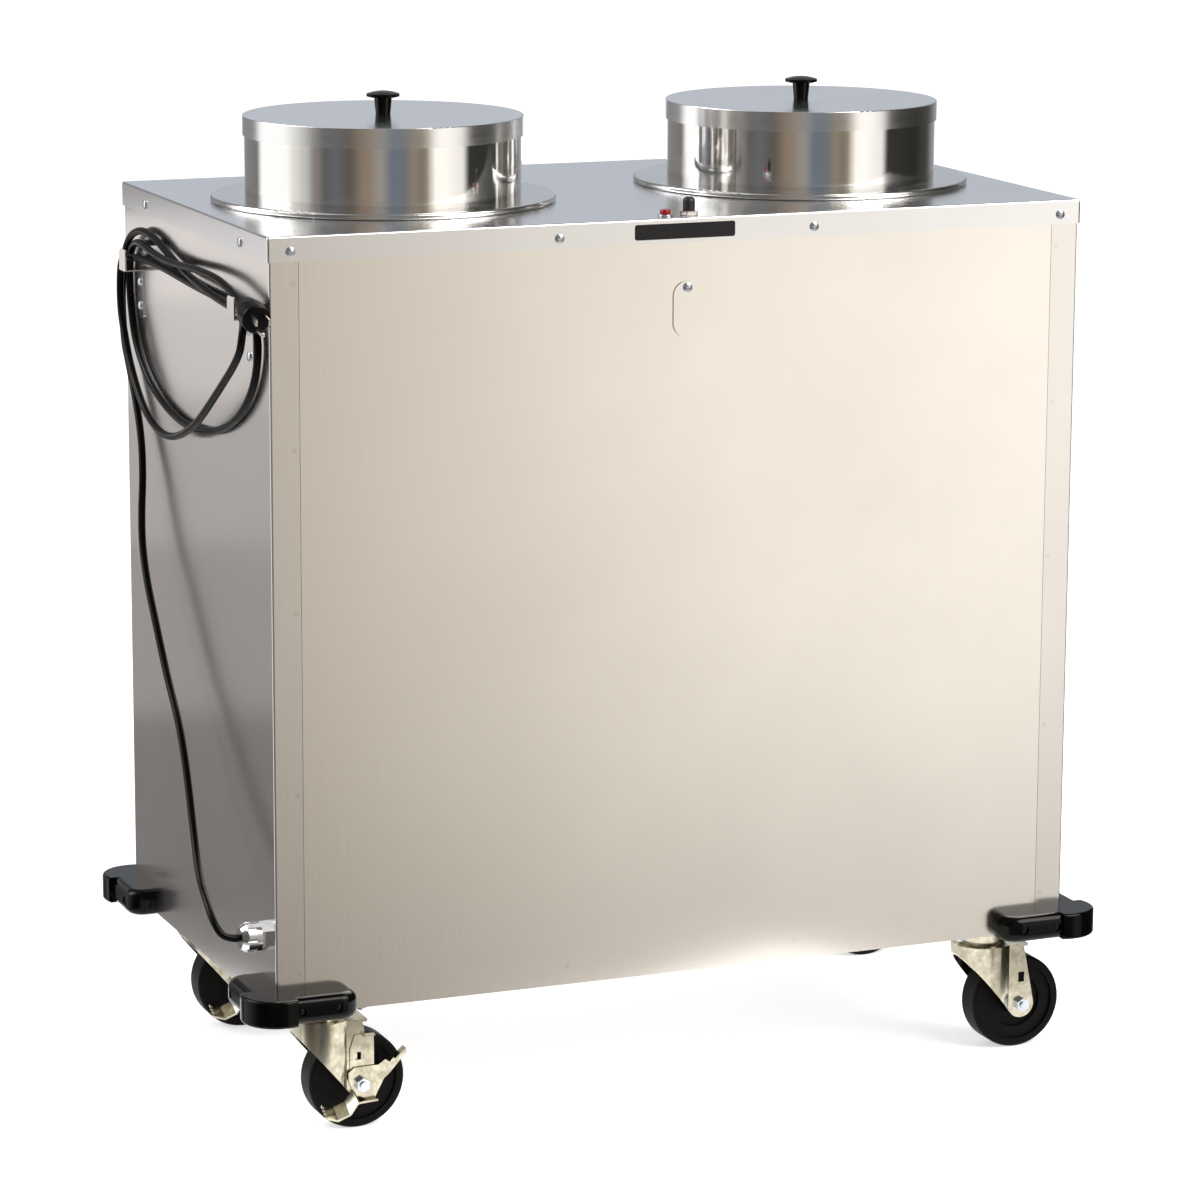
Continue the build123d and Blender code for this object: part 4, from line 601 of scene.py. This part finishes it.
def make_world():
    """A studio that reaches all round: soft boxes, dark gaps between them and a pale ground."""
    world = bpy.data.worlds.new("studio")
    bpy.context.scene.world = world
    world.use_nodes = True
    tree = Tree(world.node_tree)
    tree.nodes.clear()
    ways = tree.add("ShaderNodeTexCoord").outputs["Generated"]
    split = tree.add("ShaderNodeSeparateXYZ", {0: ways}).outputs
    front = tree.add("ShaderNodeMath", {0: split["Y"], 1: -1.0}, operation="MULTIPLY").outputs[0]
    turn = tree.add("ShaderNodeMath", {0: split["X"], 1: front}, operation="ARCTAN2").outputs[0]
    rise = tree.add("ShaderNodeMath", {0: split["Z"]}, operation="ARCSINE").outputs[0]
    walls = tree.ramp(turn, math.pi, ROOM)
    front_height = tree.ramp(rise, math.pi / 2, FRONT_HEIGHTS)
    back_height = tree.ramp(rise, math.pi / 2, BACK_HEIGHTS)
    behind = tree.spread(split["Y"], 0.0, 1.0, -BACK_EDGE, BACK_EDGE)
    height = tree.blend(behind, front_height, back_height)
    room = tree.blend(1.0, walls, height, blend_type="MULTIPLY")
    low, high = (math.radians(angle) for angle in GROUND_ANGLES)
    above = tree.spread(rise, 0.0, 1.0, low, high, interpolation_type="SMOOTHSTEP")
    whole = tree.blend(above, GROUND_TONE, room)
    studio = tree.add("ShaderNodeBackground", {"Color": whole})
    tree.add("ShaderNodeOutputWorld", {"Surface": studio.outputs[0]})


# The sweep: its reach from the camera and half its width at one metre

SWEEP_NEAR = 4.235
SWEEP_FAR = 26.0
SWEEP_SPREAD = 0.139
SWEEP_TONES = ((0.90, 0.90, 0.90), (0.92, 0.92, 0.92))
SWEEP_FLECKS = 30.0
SWEEP_GLOW = (0.55, 0.75)
GLOW_REACH = (1.5, 9.0)


def make_floor():
    """A white sweep under the object that runs back behind it and keeps its shadow."""
    yaw = math.radians(CAMERA_YAW)
    ahead = Vector((math.sin(yaw), math.cos(yaw), 0))
    across = Vector((math.cos(yaw), -math.sin(yaw), 0))
    start = Vector((CAMERA_PLACE[0], CAMERA_PLACE[1], 0))
    corners = []
    for reach, side in ((SWEEP_NEAR, -1), (SWEEP_NEAR, 1), (SWEEP_FAR, 1), (SWEEP_FAR, -1)):
        corners.append(start + ahead * reach + across * (side * SWEEP_SPREAD * reach))
    mesh = bpy.data.meshes.new("floor")
    mesh.from_pydata(corners, [], [(0, 1, 2, 3)])
    floor = bpy.data.objects.new("floor", mesh)
    bpy.context.scene.collection.objects.link(floor)
    finish = Finish("floor", Roughness=0.9)
    fleck = finish.noise(SWEEP_FLECKS, 3.0)
    finish.colour(finish.blend(finish.spread(fleck, 0.0, 1.0), *SWEEP_TONES))
    away = finish.add("ShaderNodeVectorMath", {0: finish.place}, operation="LENGTH")
    white = finish.spread(away.outputs["Value"], *SWEEP_GLOW, *GLOW_REACH)
    glow = finish.add("ShaderNodeEmission", {"Color": (1.0, 1.0, 1.0, 1.0), "Strength": white})
    plain = finish.shader.outputs[0]
    lift = finish.add("ShaderNodeAddShader", {0: plain, 1: glow.outputs[0]})
    rays = finish.add("ShaderNodeLightPath").outputs
    sharp = finish.sum(rays["Is Glossy Ray"], rays["Is Transmission Ray"])
    direct = finish.sum(rays["Is Camera Ray"], sharp)
    seen = finish.add("ShaderNodeMixShader", {0: direct, 1: plain, 2: lift.outputs[0]})
    finish.links.new(seen.outputs[0], finish.nodes["Material Output"].inputs["Surface"])
    mesh.materials.append(finish.material)


def make_lamp(name, place, target, size, power, colour):
    """A soft box that faces a target and is itself out of sight."""
    data = bpy.data.lights.new(name, "AREA")
    data.shape = "RECTANGLE"
    data.size, data.size_y = size
    data.energy = power
    data.color = colour
    lamp = bpy.data.objects.new(name, data)
    lamp.location = place
    lamp.rotation_euler = (Vector(target) - Vector(place)).to_track_quat("-Z", "Y").to_euler()
    lamp.visible_camera = False
    bpy.context.scene.collection.objects.link(lamp)


def make_camera():
    """The photograph's view."""
    data = bpy.data.cameras.new("camera")
    data.lens = LENS
    data.sensor_width = SENSOR
    data.sensor_fit = "HORIZONTAL"
    camera = bpy.data.objects.new("camera", data)
    yaw, pitch, roll = (math.radians(a) for a in (CAMERA_YAW, CAMERA_PITCH, CAMERA_ROLL))
    ahead = Vector(
        (math.sin(yaw) * math.cos(pitch), math.cos(yaw) * math.cos(pitch), -math.sin(pitch))
    )
    level = Vector((math.cos(yaw), -math.sin(yaw), 0))
    below = ahead.cross(level)
    right = math.cos(roll) * level + math.sin(roll) * below
    up = -(math.cos(roll) * below - math.sin(roll) * level)
    turned = Matrix((right, up, -ahead)).transposed()
    camera.matrix_world = Matrix.Translation(CAMERA_PLACE) @ turned.to_4x4()
    bpy.context.scene.collection.objects.link(camera)
    bpy.context.scene.camera = camera


# Lamps: the two soft boxes overhead, then the upright ones behind the left side

MIDDLE = (0, 0, 0.5)
BOX_SIZE = (3.0, 3.0)
KEY_PLACE, KEY_POWER, KEY_COLOUR = (2.29, -2.93, 3.85), 220.0, (1.0, 0.98, 0.95)
FILL_PLACE, FILL_POWER, FILL_COLOUR = (-3.62, 1.92, 3.37), 110.0, (0.97, 0.98, 1.0)
SIDE_BOX_X, SIDE_BOX_Y = -0.91, 1.52
SIDE_TARGET_X = -0.44
SIDE_BOX_WIDTH = 1.2
SIDE_BOX_COLOUR = (1.0, 0.97, 0.95)
SIDE_BOXES = ((0.60, 0.72, 0.64), (0.46, 0.60, 0.46), (0.26, 0.46, 0.24), (0.02, 0.26, 0.13))


def make_side_box(low, high, tone):
    """An upright box between two heights, of a given brightness."""
    middle = (low + high) / 2
    size = (SIDE_BOX_WIDTH, high - low)
    place, target = (SIDE_BOX_X, SIDE_BOX_Y, middle), (SIDE_TARGET_X, 0, middle)
    power = tone * math.pi * SIDE_BOX_WIDTH * (high - low)
    make_lamp("side_box", place, target, size, power, SIDE_BOX_COLOUR)


make_world()
make_floor()
make_lamp("key", KEY_PLACE, MIDDLE, BOX_SIZE, KEY_POWER, KEY_COLOUR)
make_lamp("fill", FILL_PLACE, MIDDLE, BOX_SIZE, FILL_POWER, FILL_COLOUR)
for side_box in SIDE_BOXES:
    make_side_box(*side_box)
make_camera()
bpy.context.scene.view_settings.view_transform = "Standard"
